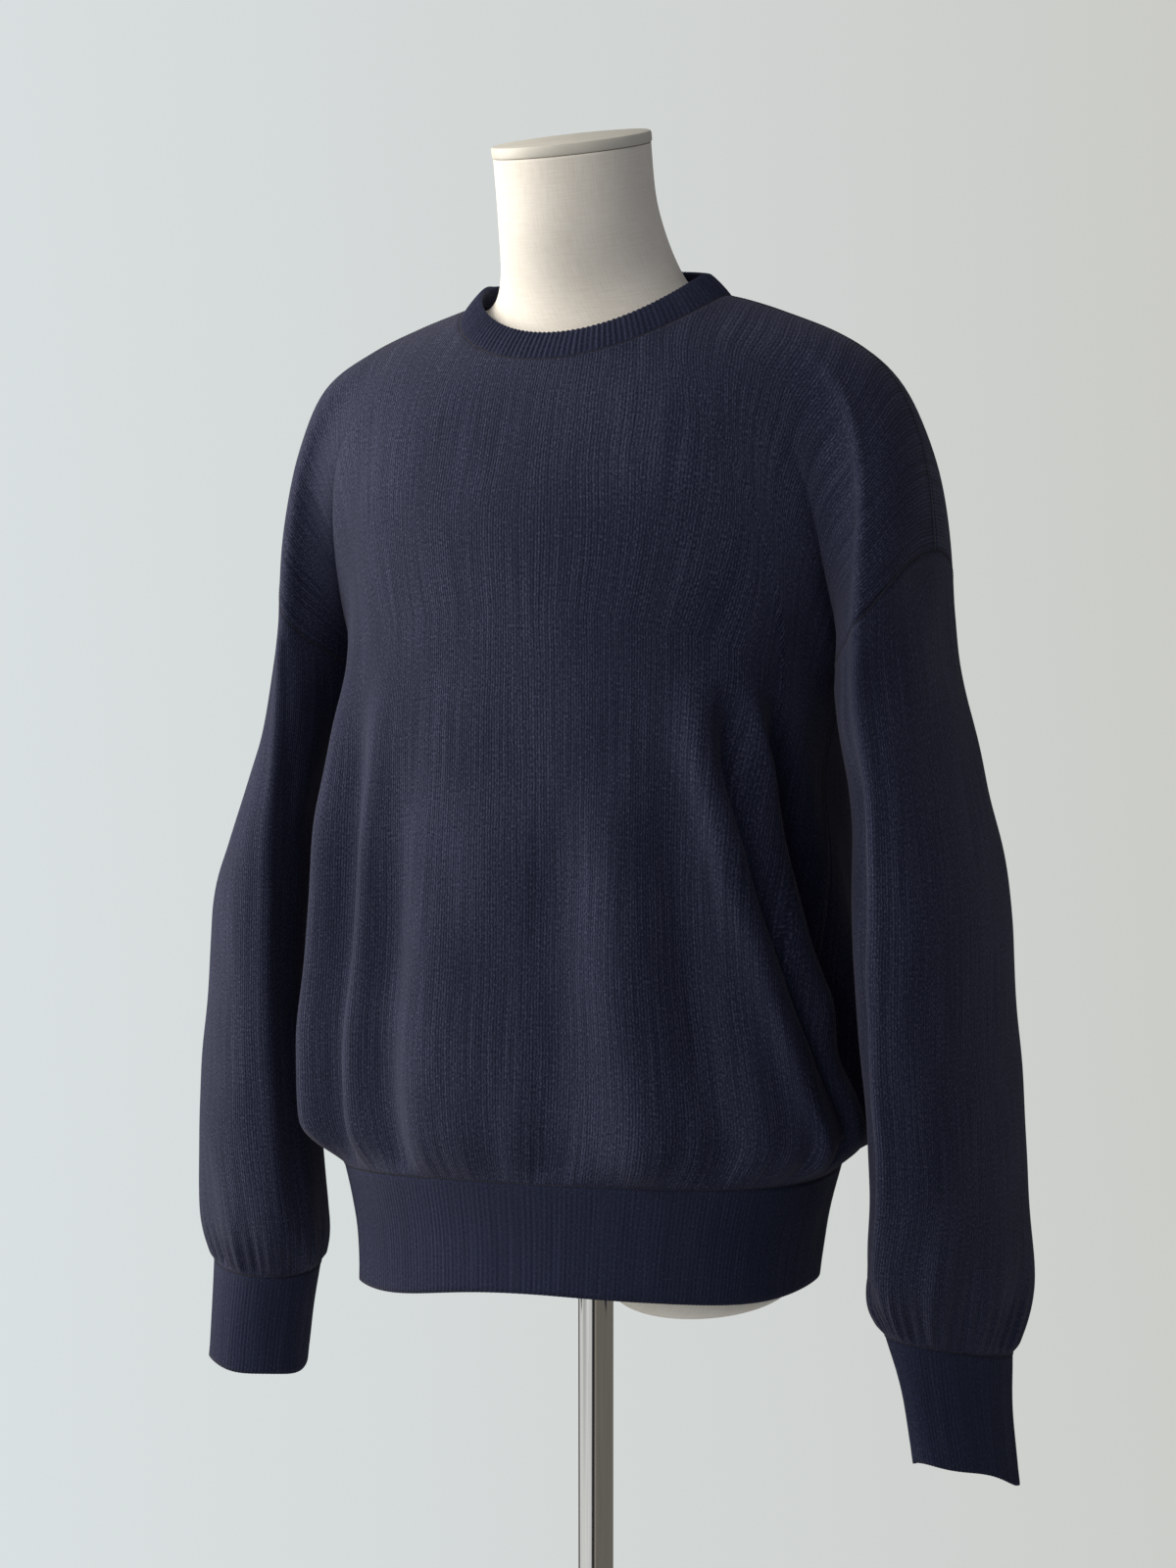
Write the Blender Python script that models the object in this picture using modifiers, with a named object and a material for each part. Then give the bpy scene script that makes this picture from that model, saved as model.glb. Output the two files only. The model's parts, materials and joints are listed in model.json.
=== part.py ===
"""A fine-knit crew-neck sweater on a limbless dress form.

The sweater is one surface with seams drawn on it. It starts at the neckline and runs over the shoulders as a
yoke of rings. Under the arms each ring pinches into three loops: the body and two sleeves. Every panel is a
patch of that surface with the cloth's thickness, so that neighbours meet edge to edge at their seams.

Metres, +Z up. The figure faces -Y, and its left is +X. The origin is on the floor, under the pole.
"""

import math

import bmesh
import bpy
import numpy as np

# The cloth
WALL = 0.0015
SEAM_GAP = 0.0005
RIB_COUNT = 150
RIB_HEIGHT = 0.0008
NECKBAND_WALL = 0.0032
GATHER = 0.0010
NORMAL_PASSES = 2

# Where the body's folds start to die out into the hem seam, and where the gathers over a seam are deepest, as
# shares of the way from the underarm or armhole to the seam
FOLD_END = 0.84
GATHER_TOP = 0.80
GATHER_DEEPEST = 0.92

# Columns of faces across each stretch of a ring, and rows down each stretch of the garment
ARMHOLE_COLUMNS = 10
BODY_COLUMNS = 30
YOKE_ROWS = 9
BODY_ROWS = 12
BAND_ROWS = 2
SLEEVE_ROWS = 14
CUFF_ROWS = 2

# The form's cap, pole and base
CAP_RADIUS = 0.0560
CAP_THICKNESS = 0.008
CAP_GAP = 0.0003
POLE_RADIUS = 0.0130
TORSO_BOTTOM = 0.750
TOUCH_GAP = 0.0003
BASE_RADIUS = 0.160
BASE_THICKNESS = 0.010
SOCKET_RADIUS = 0.024
SOCKET_HEIGHT = 0.045
THIGH_X = 0.086
FORM_COLUMNS = 32
FORM_ROWS = 22

# Rings of the yoke, from the neckline to the underarm. Each row gives the ring's reach to the figure's left and
# right along the shoulder line, its points at the centre front and back, how square it is between them, and
# how rounded its crown is.
# Columns: left_x, right_x, side_y, side_z, front_y, front_z, back_y, back_z, square, crown
YOKE = (
    (0.100, 0.100, 0.002, 1.406, -0.088, 1.359, 0.068, 1.416, 2.0, 1.4),
    (0.140, 0.140, -0.002, 1.393, -0.100, 1.335, 0.088, 1.398, 2.0, 1.4),
    (0.180, 0.178, -0.005, 1.376, -0.110, 1.308, 0.100, 1.374, 2.0, 1.4),
    (0.208, 0.208, -0.006, 1.354, -0.118, 1.278, 0.107, 1.343, 2.0, 1.4),
    (0.226, 0.221, -0.002, 1.321, -0.124, 1.250, 0.111, 1.310, 2.1, 1.4),
    (0.237, 0.227, 0.006, 1.277, -0.128, 1.218, 0.114, 1.270, 2.2, 1.4),
    (0.250, 0.230, 0.014, 1.232, -0.130, 1.186, 0.116, 1.212, 2.3, 1.4),
)

# The neckband's top edge, in the yoke's columns
NECK_TOP = (0.086, 0.086, 0.000, 1.421, -0.074, 1.378, 0.054, 1.432, 2.0, 1.4)

# The armholes, oval loops from the drop shoulder's outer point to the underarm point
# Columns: outer_x, outer_z, inner_x, inner_z, centre_y, half_depth, front_dip
ARMHOLE_LEFT = (0.252, 1.228, 0.188, 1.142, 0.004, 0.090, 0.018)
ARMHOLE_RIGHT = (0.242, 1.232, 0.190, 1.142, 0.018, 0.080, 0.014)
ARMHOLE_SQUARE = 2.1
ARMHOLE_POINTED = 0.70

# How steeply the yoke runs down into the body and the armholes, as a height for its whole length, and how many
# columns from an underarm point it takes to reach that
YOKE_LIFT = 0.240
LIFT_COLUMNS = 6

# The share of a sleeve's length over which its section changes from the armhole's shape to its own
HOLE_SHARE = 0.26

# Sections of the body under the arms, and of the hem band: heights at the sides, front and back, the drop of
# the figure's right side, the reach of each side, front and back, and how square the section is
# Columns: side_z, front_z, back_z, drop, left_x, right_x, front_y, back_y, square
BODY = (
    (1.136, 1.186, 1.212, 0.000, 0.182, 0.184, -0.130, 0.116, 2.3),
    (1.070, 1.115, 1.130, 0.000, 0.174, 0.188, -0.130, 0.116, 2.4),
    (1.000, 1.040, 1.040, 0.002, 0.174, 0.196, -0.132, 0.120, 2.4),
    (0.935, 0.960, 0.960, 0.005, 0.182, 0.205, -0.135, 0.127, 2.3),
    (0.875, 0.891, 0.891, 0.010, 0.196, 0.211, -0.139, 0.133, 2.3),
    (0.826, 0.838, 0.838, 0.016, 0.206, 0.212, -0.141, 0.135, 2.2),
    (0.796, 0.809, 0.805, 0.022, 0.184, 0.194, -0.134, 0.128, 2.2),
)
HEM_BAND = (
    BODY[-1],
    (0.754, 0.771, 0.765, 0.026, 0.173, 0.184, -0.130, 0.124, 2.2),
    (0.712, 0.733, 0.724, 0.030, 0.167, 0.182, -0.130, 0.122, 2.2),
)

# Folds of the body. Angles run from the centre front towards the figure's left, in degrees, and rise is how
# far the fold stands out of the section; a trough has a negative rise.
# Columns: top_z, bottom_z, top_angle, bottom_angle, half_width, rise
BODY_FOLDS = (
    (1.17, 0.79, 36.0, 86.0, 10.0, 0.017),
    (1.17, 0.86, 56.0, 94.0, 9.0, -0.017),
    (1.09, 0.86, 84.0, 108.0, 9.0, 0.008),
    (1.12, 0.80, 33.0, 44.0, 7.0, -0.009),
    (1.10, 0.79, 17.0, 26.0, 8.0, 0.005),
    (1.10, 0.79, 7.0, 8.0, 8.0, -0.005),
    (1.04, 0.79, -16.0, -16.0, 9.0, 0.004),
    (1.10, 0.79, -27.0, -27.0, 7.0, -0.005),
    (1.17, 0.79, -34.0, -38.0, 6.0, 0.009),
    (1.16, 0.79, -45.0, -48.0, 7.0, -0.010),
    (1.19, 0.79, -56.0, -60.0, 9.0, 0.020),
    (1.12, 0.79, -92.0, -90.0, 18.0, -0.010),
    (1.15, 0.80, -118.0, -112.0, 10.0, 0.012),
    (1.17, 0.80, 116.0, 115.0, 13.0, 0.016),
    (1.13, 0.79, -140.0, -134.0, 10.0, -0.009),
    (1.12, 0.79, 148.0, 140.0, 10.0, -0.009),
    (1.10, 0.79, 172.0, 168.0, 9.0, 0.006),
    (1.08, 0.79, -164.0, -158.0, 9.0, 0.006),
)

# Sections of the sleeves from the armhole to the cuff seam, and of the cuffs: the centre, half the flattened
# tube's width and thickness, how far its front edge is turned in towards the body in degrees, and how much
# lower its back edge hangs than its front one
# Columns: z, centre_x, centre_y, half_width, half_thickness, turn, tilt, square
SLEEVE_LEFT = (
    (1.180, 0.244, 0.000, 0.090, 0.038, 4.0, 0.000, 2.2),
    (1.100, 0.253, -0.008, 0.091, 0.040, 5.0, 0.000, 2.2),
    (1.000, 0.257, -0.012, 0.090, 0.041, 8.0, 0.004, 2.2),
    (0.900, 0.263, -0.013, 0.089, 0.038, 11.0, 0.008, 2.2),
    (0.800, 0.270, -0.010, 0.082, 0.038, 15.0, 0.016, 2.2),
    (0.730, 0.270, -0.004, 0.077, 0.038, 24.0, 0.024, 2.2),
    (0.682, 0.269, 0.002, 0.053, 0.029, 30.0, 0.026, 2.1),
)
CUFF_LEFT = (
    SLEEVE_LEFT[-1],
    (0.640, 0.276, 0.002, 0.048, 0.022, 30.0, 0.028, 2.1),
    (0.595, 0.283, 0.002, 0.046, 0.021, 30.0, 0.030, 2.1),
)
SLEEVE_RIGHT = (
    (1.180, 0.247, 0.010, 0.083, 0.033, 16.0, 0.000, 2.1),
    (1.100, 0.264, 0.000, 0.085, 0.037, 26.0, 0.000, 2.1),
    (1.000, 0.275, -0.008, 0.085, 0.039, 32.0, 0.000, 2.1),
    (0.900, 0.281, -0.013, 0.085, 0.040, 36.0, 0.000, 2.1),
    (0.800, 0.280, -0.018, 0.082, 0.045, 40.0, 0.000, 2.1),
    (0.725, 0.276, -0.018, 0.075, 0.047, 44.0, 0.000, 2.1),
    (0.682, 0.274, -0.018, 0.053, 0.040, 48.0, 0.000, 2.1),
)
CUFF_RIGHT = (
    SLEEVE_RIGHT[-1],
    (0.643, 0.278, -0.020, 0.048, 0.038, 48.0, 0.000, 2.1),
    (0.604, 0.281, -0.022, 0.046, 0.037, 48.0, 0.000, 2.1),
)

# Rings of the dress form, from the top of the neck to the hips, in the yoke's columns
FORM = (
    (0.0550, 0.0550, -0.039, 1.506, -0.093, 1.492, 0.015, 1.520, 2.0, 1.0),
    (0.0560, 0.0560, -0.030, 1.465, -0.084, 1.448, 0.026, 1.477, 2.0, 1.0),
    (0.0640, 0.0640, -0.014, 1.427, -0.066, 1.404, 0.047, 1.438, 2.0, 1.0),
    (0.0788, 0.0788, -0.005, 1.4066, -0.066, 1.374, 0.056, 1.416, 2.0, 1.2),
    (0.1088, 0.1088, -0.003, 1.3976, -0.079, 1.345, 0.076, 1.396, 2.0, 1.4),
    (0.1488, 0.1488, -0.004, 1.3859, -0.092, 1.316, 0.086, 1.368, 1.9, 1.4),
    (0.1788, 0.1788, -0.006, 1.3709, -0.098, 1.290, 0.090, 1.338, 1.85, 1.4),
    (0.1918, 0.1918, -0.005, 1.3526, -0.102, 1.266, 0.093, 1.310, 1.85, 1.4),
    (0.1918, 0.1918, -0.003, 1.3136, -0.106, 1.240, 0.095, 1.280, 1.9, 1.4),
    (0.1788, 0.1788, 0.000, 1.2586, -0.109, 1.208, 0.096, 1.235, 2.0, 1.4),
    (0.1640, 0.1640, 0.000, 1.2000, -0.110, 1.175, 0.094, 1.190, 2.1, 1.4),
    (0.1530, 0.1530, 0.000, 1.1300, -0.104, 1.120, 0.090, 1.125, 2.2, 1.4),
    (0.1280, 0.1280, 0.000, 1.0400, -0.088, 1.040, 0.082, 1.040, 2.2, 1.0),
    (0.1240, 0.1240, 0.000, 1.0000, -0.085, 1.000, 0.082, 1.000, 2.2, 1.0),
    (0.1460, 0.1460, 0.000, 0.9000, -0.096, 0.900, 0.096, 0.900, 2.2, 1.0),
    (0.1640, 0.1640, 0.000, 0.8300, -0.110, 0.830, 0.110, 0.830, 2.2, 1.0),
    (0.1620, 0.1620, 0.000, 0.7850, -0.114, 0.785, 0.111, 0.785, 2.2, 1.0),
    (0.1580, 0.1580, 0.000, TORSO_BOTTOM, -0.112, TORSO_BOTTOM, 0.109, TORSO_BOTTOM, 2.2, 1.0),
)

# Sections of a thigh stub, from the torso down: height, half width, half depth
THIGH = (
    (TORSO_BOTTOM - TOUCH_GAP, 0.0680, 0.0900),
    (0.724, 0.0680, 0.0900),
    (0.709, 0.0660, 0.0860),
    (0.700, 0.0600, 0.0780),
    (0.696, 0.0490, 0.0650),
)

# The colours of the real piece, linear
NAVY = (0.010, 0.012, 0.030)
LINEN = (0.62, 0.58, 0.50)
CAP_BEIGE = (0.50, 0.48, 0.43)
CHROME = (0.75, 0.75, 0.76)
STEEL = (0.55, 0.55, 0.56)


def clear_scene():
    """Remove whatever the file opened with."""
    for thing in list(bpy.data.objects):
        bpy.data.objects.remove(thing, do_unlink=True)


def part_collection(name):
    """The collection that holds the part's pieces."""
    collection = bpy.data.collections.new(name)
    bpy.context.scene.collection.children.link(collection)
    return collection


def material(name, colour, roughness, metallic):
    """A plain material of one colour."""
    made = bpy.data.materials.new(name)
    made.use_nodes = True
    shader = made.node_tree.nodes["Principled BSDF"]
    shader.inputs["Base Color"].default_value = (*colour, 1.0)
    shader.inputs["Roughness"].default_value = roughness
    shader.inputs["Metallic"].default_value = metallic
    made.diffuse_color = (*colour, 1.0)
    return made


def add_object(name, mesh, collection, finish):
    """Put a mesh in the part as a piece of its own."""
    mesh.materials.append(finish)
    mesh.shade_smooth()
    mesh.set_sharp_from_angle(angle=math.radians(50))
    piece = bpy.data.objects.new(name, mesh)
    collection.objects.link(piece)
    return piece


def between(rows, t):
    """The table's row at t, from 0 at its first row to 1 at its last, on a smooth curve through the rows."""
    rows = np.asarray(rows, float)
    last = len(rows) - 1
    at = min(max(t, 0.0), 1.0) * last
    i = min(int(at), last - 1)
    f = at - i
    before, here = rows[max(i - 1, 0)], rows[i]
    after, beyond = rows[i + 1], rows[min(i + 2, last)]
    slope_here, slope_after = (after - before) / 2, (beyond - here) / 2
    return (
        (2 * f**3 - 3 * f**2 + 1) * here
        + (f**3 - 2 * f**2 + f) * slope_here
        + (3 * f**2 - 2 * f**3) * after
        + (f**3 - f**2) * slope_after
    )


def smooth_step(t):
    """0 up to t = 0, 1 from t = 1, and a soft S between."""
    t = min(max(t, 0.0), 1.0)
    return t * t * (3 - 2 * t)


def gather_depth(t):
    """The share of their full depth that the gathers over a seam have, at t of the way down to it."""
    return smooth_step((t - GATHER_TOP) / (GATHER_DEEPEST - GATHER_TOP)) * smooth_step((1 - t) / (1 - GATHER_DEEPEST))


def rounded(angle, square):
    """The cosine and sine of a superellipse: 2 is an ellipse, and more is squarer."""
    c, s = math.cos(angle), math.sin(angle)
    power = 2.0 / square
    return math.copysign(abs(c) ** power, c), math.copysign(abs(s) ** power, s)


def ring_point(row, angle):
    """A point of a ring that hangs from its shoulder line. The angle runs from the figure's left to the front."""
    left_x, right_x, side_y, side_z, front_y, front_z, back_y, back_z, square, crown = row
    c, s = rounded(angle, square)
    side_x = left_x if c >= 0 else right_x
    middle_y, middle_z = (front_y, front_z) if s >= 0 else (back_y, back_z)
    reach = abs(s)
    return np.array((side_x * c, side_y + (middle_y - side_y) * reach, side_z + (middle_z - side_z) * reach**crown))


def armhole_point(hole, angle, mirror):
    """A point of an armhole loop. The angle runs from the outer point, by the front, to the underarm point."""
    outer_x, outer_z, inner_x, inner_z, centre_y, half_depth, front_dip = hole
    c, s = rounded(angle, ARMHOLE_SQUARE)
    climb = ((1 + c) / 2) ** ARMHOLE_POINTED
    x = inner_x + (outer_x - inner_x) * climb
    z = inner_z + (outer_z - inner_z) * climb - front_dip * s * s
    return np.array((mirror * x, centre_y * climb - half_depth * s, z))


def fold_rise(folds, angle, z):
    """How far the folds move a point of the body out of its section. They start softly at their upper ends."""
    rise = 0.0
    for top_z, bottom_z, top_angle, bottom_angle, half_width, height in folds:
        along = (top_z - z) / (top_z - bottom_z)
        centre = top_angle + (bottom_angle - top_angle) * min(max(along, 0.0), 1.0)
        away = (math.degrees(angle) - centre + 180.0) % 360.0 - 180.0
        rise += height * smooth_step(along * 2.5) * math.exp(-((away / half_width) ** 2))
    return rise


def body_point(row, angle, depth):
    """A point of a body section, with its folds at a share of their full depth.

    The angle runs from the centre front towards the figure's left.
    """
    side_z, front_z, back_z, drop, left_x, right_x, front_y, back_y, square = row
    s, c = rounded(math.pi / 2 - angle, square)[0], rounded(math.pi / 2 - angle, square)[1]
    x = s * (left_x if s >= 0 else right_x)
    y = c * -front_y if c >= 0 else c * back_y
    middle_z = front_z if c >= 0 else back_z
    z = side_z + (middle_z - side_z) * c * c - drop * 0.5 * (1 - x / right_x)
    out = np.array((s / left_x, -c / 0.13, 0.0))
    out /= np.linalg.norm(out)
    return np.array((x, -y, z)) + out * depth * fold_rise(BODY_FOLDS, angle, z)


def body_ring(row, depth):
    """A body section's points, from the figure's left side by the front to its right side, and round the back."""
    count = 2 * BODY_COLUMNS
    return [body_point(row, math.pi / 2 - 2 * math.pi * k / count, depth) for k in range(count)]


def sleeve_point(row, angle, mirror):
    """A point of a sleeve's section. The angle runs from the outer side, by the front edge, to the inner side."""
    z, centre_x, centre_y, half_width, half_thickness, turn, tilt, square = row
    turn = math.radians(turn)
    out = np.array((math.cos(turn), -math.sin(turn), 0.0))
    front = np.array((-math.sin(turn), -math.cos(turn), 0.0))
    c, s = rounded(angle, square)
    point = np.array((centre_x, centre_y, z + tilt / 2 * s)) + out * half_thickness * c + front * half_width * s
    point[0] *= mirror
    return point


def sleeve_ring(row, mirror):
    """A sleeve section's points, in the armhole's order."""
    count = 2 * ARMHOLE_COLUMNS
    return [sleeve_point(row, 2 * math.pi * k / count, mirror) for k in range(count)]


def armhole_ring(hole, mirror):
    """The armhole loop's points, from its outer point by the front."""
    count = 2 * ARMHOLE_COLUMNS
    return [armhole_point(hole, 2 * math.pi * k / count, mirror) for k in range(count)]


def underarm_ring(body, left, right):
    """The ring where the yoke ends, laid along both armholes and the body's first section."""
    arm, half = ARMHOLE_COLUMNS, BODY_COLUMNS
    front = left[:arm] + body[:half] + right[arm:0:-1]
    back = [right[0]] + right[: arm - 1 : -1][: arm - 1] + [right[arm]] + body[half + 1 :] + [left[arm]]
    back += left[arm + 1 :]
    return front + back


class Surface:
    """The garment's outer face as shared points, with each panel's faces."""

    def __init__(self):
        self.points = []
        self.panels = {}

    def add_ring(self, points):
        """Add points and return their numbers."""
        first = len(self.points)
        self.points.extend(points)
        return list(range(first, first + len(points)))

    def add_strip(self, panel, upper, lower, closed):
        """Add a row of faces between two rings' points."""
        faces = self.panels.setdefault(panel, [])
        count = len(upper)
        for i in range(count if closed else count - 1):
            j = (i + 1) % count
            faces.append((upper[i], upper[j], lower[j], lower[i]))

    def normals(self):
        """The outward direction at each point: the mean of its faces on every panel, evened out a little."""
        points = np.array(self.points)
        found = np.zeros_like(points)
        for faces in self.panels.values():
            for face in faces:
                a, b, c, d = points[list(face)]
                normal = np.cross(c - a, d - b)
                for i in face:
                    found[i] += normal
        found /= np.maximum(np.linalg.norm(found, axis=1), 1e-12)[:, None]
        for _ in range(NORMAL_PASSES):
            spread = np.zeros_like(found)
            for faces in self.panels.values():
                for face in faces:
                    for i, j in zip(face, face[1:] + face[:1]):
                        spread[i] += found[j]
                        spread[j] += found[i]
            spread /= np.maximum(np.linalg.norm(spread, axis=1), 1e-12)[:, None]
            found += spread
            found /= np.maximum(np.linalg.norm(found, axis=1), 1e-12)[:, None]
        return found


def halves(face, points):
    """A four-sided face cut in two along its shorter diagonal, so that both sides of a wall are cut alike."""
    a, b, c, d = face
    if np.linalg.norm(points[a] - points[c]) <= np.linalg.norm(points[b] - points[d]):
        return (a, b, c), (a, c, d)
    return (a, b, d), (b, c, d)


def wall_mesh(name, faces, outer, inner):
    """A closed wall between an outer and an inner face, with a rim round each open edge."""
    bm = bmesh.new()
    used = sorted({i for face in faces for i in face})
    out = {i: bm.verts.new(outer[i]) for i in used}
    inn = {i: bm.verts.new(inner[i]) for i in used}
    edges = []
    for face in faces:
        for half in halves(face, outer):
            bm.faces.new([out[i] for i in half])
            bm.faces.new([inn[i] for i in reversed(half)])
        edges.extend(zip(face, face[1:] + face[:1]))
    shared = set(edges)
    for i, j in edges:
        if (j, i) in shared:
            continue
        # Neighbours share the numbers of their seam's points, so both cut their rims the same way
        if i < j:
            rim = ((out[j], out[i], inn[j]), (out[i], inn[i], inn[j]))
        else:
            rim = ((out[j], out[i], inn[i]), (out[j], inn[i], inn[j]))
        for half in rim:
            bm.faces.new(half)
    mesh = bpy.data.meshes.new(name)
    bm.to_mesh(mesh)
    bm.free()
    return mesh


def drawn_in(faces, points, normals):
    """The points with each open edge of the faces drawn in by half a seam gap, square to the edge."""
    edges = {(i, j) for face in faces for i, j in zip(face, face[1:] + face[:1])}
    inward = {}
    for i, j in sorted(edges):
        if (j, i) not in edges:
            along = points[j] - points[i]
            for k in (i, j):
                way = np.cross(normals[k], along)
                inward[k] = inward.get(k, 0.0) + way / np.linalg.norm(way)
    moved = points.copy()
    for i, way in inward.items():
        moved[i] += way / np.linalg.norm(way) * SEAM_GAP / 2
    return moved


def build_garment(collection, cloth):
    """The panels, sleeves, cuffs and hem band."""
    surface = Surface()
    arm, half = ARMHOLE_COLUMNS, BODY_COLUMNS
    columns = 4 * arm + 2 * half
    body_top = body_ring(BODY[0], 0.0)
    left_hole, right_hole = armhole_ring(ARMHOLE_LEFT, 1), armhole_ring(ARMHOLE_RIGHT, -1)
    body_top[0], body_top[half] = left_hole[arm], right_hole[arm]
    last = underarm_ring(body_top, left_hole, right_hole)
    underarms = (arm, arm + half, columns - arm - half, columns - arm)
    rings = []
    for row in range(YOKE_ROWS + 1):
        t = row / YOKE_ROWS
        values = between(YOKE, t)
        ring = []
        for column in range(columns):
            plain = ring_point(values, 2 * math.pi * column / columns)
            away = min(abs(column - underarm) for underarm in underarms)
            ease = smooth_step(away / LIFT_COLUMNS)
            pinch = t**4 * (1 + 4 * (1 - t) * ease)
            lift = np.array((0.0, 0.0, YOKE_LIFT * ease * (1 - t)))
            ring.append(plain * (1 - pinch) + (last[column] + lift) * pinch)
        rings.append(surface.add_ring(ring))
    front_end = 2 * arm + half
    for upper, lower in zip(rings, rings[1:]):
        surface.add_strip("front", upper[: front_end + 1], lower[: front_end + 1], False)
        surface.add_strip("back", upper[front_end:] + upper[:1], lower[front_end:] + lower[:1], False)
    under = rings[-1]
    # The underarm point is one point of the front and the back
    right_front, right_back = arm + half, columns - half - arm
    left_front, left_back = arm, columns - arm
    merge = {under[right_back]: under[right_front], under[left_back]: under[left_front]}
    for panel, faces in surface.panels.items():
        surface.panels[panel] = [tuple(merge.get(i, i) for i in face) for face in faces]
    under = [merge.get(i, i) for i in under]
    loop = under[left_front : right_front + 1] + under[right_back + 1 : left_back]
    for row in range(1, BODY_ROWS + 1):
        t = row / BODY_ROWS
        ring = body_ring(between(BODY, t), 1 - smooth_step((t - FOLD_END) / (1 - FOLD_END)))
        near_seam = gather_depth(t)
        for k, point in enumerate(ring):
            ring[k] = point * (1 + near_seam * GATHER * (-1) ** k / 0.16 * np.array((1, 1, 0)))
        lower = surface.add_ring(ring)
        surface.add_strip("front", loop[: half + 1], lower[: half + 1], False)
        surface.add_strip("back", loop[half:] + loop[:1], lower[half:] + lower[:1], False)
        loop = lower
    for row in range(1, BAND_ROWS + 1):
        lower = surface.add_ring(body_ring(between(HEM_BAND, row / BAND_ROWS), 0.0))
        surface.add_strip("hem_band", loop, lower, True)
        loop = lower
    left_loop = under[: arm + 1] + under[left_back + 1 :]
    right_loop = [under[front_end]] + under[front_end - 1 : right_front - 1 : -1]
    right_loop += under[right_back - 1 : front_end : -1]
    for side, mirror, loop, hole, sleeve, cuff in (
        ("left", 1, left_loop, left_hole, SLEEVE_LEFT, CUFF_LEFT),
        ("right", -1, right_loop, right_hole, SLEEVE_RIGHT, CUFF_RIGHT),
    ):
        for row in range(1, SLEEVE_ROWS + 1):
            t = row / SLEEVE_ROWS
            ring = sleeve_ring(between(sleeve, t), mirror)
            blend = smooth_step(t / HOLE_SHARE)
            for k in range(len(ring)):
                hung = hole[k] + np.array((0.0, 0.0, -1.0)) * t * (hole[k][2] - sleeve[-1][0])
                ring[k] = hung * (1 - blend) + ring[k] * blend
                near_seam = gather_depth(t)
                centre = np.mean([sleeve_point(between(sleeve, t), a, mirror) for a in (0, math.pi)], axis=0)
                ring[k] = centre + (ring[k] - centre) * (1 + near_seam * GATHER * (-1) ** k / 0.045)
            lower = surface.add_ring(ring)
            surface.add_strip(f"sleeve_{side}", loop[::mirror], lower[::mirror], True)
            loop = lower
        for row in range(1, CUFF_ROWS + 1):
            lower = surface.add_ring(sleeve_ring(between(cuff, row / CUFF_ROWS), mirror))
            surface.add_strip(f"cuff_{side}", loop[::mirror], lower[::mirror], True)
            loop = lower
    normals = surface.normals()
    for column, i in enumerate(rings[0]):
        normals[i] = neck_seam_direction(2 * math.pi * column / columns)
    points = np.array(surface.points)
    for name, faces in surface.panels.items():
        outer = drawn_in(faces, points, normals)
        inner = outer - normals * WALL
        add_object(name, wall_mesh(name, faces, outer, inner), collection, cloth[name])


def neck_seam_direction(angle):
    """The outward direction on the neckline seam, midway between the yoke's slope and the neckband's."""
    along = ring_point(YOKE[0], angle + 0.01) - ring_point(YOKE[0], angle - 0.01)
    down = ring_point(YOKE[1], angle) - ring_point(NECK_TOP, angle)
    outward = np.cross(along, down)
    return outward / np.linalg.norm(outward)


def build_neckband(collection, finish):
    """The neckband, with its ribs raised on the outside."""
    count = 2 * RIB_COUNT
    surface = Surface()
    edges = (YOKE[0], NECK_TOP)
    rings = [[ring_point(row, 2 * math.pi * k / count) for k in range(count)] for row in reversed(edges)]
    numbers = [surface.add_ring(ring) for ring in rings]
    surface.add_strip("neckband", numbers[0], numbers[1], True)
    normals = surface.normals()
    for k, i in enumerate(numbers[1]):
        normals[i] = neck_seam_direction(2 * math.pi * k / count)
    points = np.array(surface.points)
    faces = surface.panels["neckband"]
    outer = drawn_in(faces, points, normals)
    inner = outer - normals * NECKBAND_WALL
    for ring in numbers:
        for k, i in enumerate(ring):
            outer[i] -= normals[i] * RIB_HEIGHT * (k % 2)
    add_object("neckband", wall_mesh("neckband", faces, outer, inner), collection, finish)


def loft(name, rings, collection, finish):
    """A closed solid through rings that run the same way round, with flat ends."""
    bm = bmesh.new()
    loops = [[bm.verts.new(point) for point in ring] for ring in rings]
    for upper, lower in zip(loops, loops[1:]):
        for i in range(len(upper)):
            j = (i + 1) % len(upper)
            bm.faces.new((upper[i], lower[i], lower[j], upper[j]))
    bm.faces.new(loops[0])
    bm.faces.new(reversed(loops[-1]))
    bmesh.ops.recalc_face_normals(bm, faces=bm.faces)
    mesh = bpy.data.meshes.new(name)
    bm.to_mesh(mesh)
    bm.free()
    return add_object(name, mesh, collection, finish)


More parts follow.
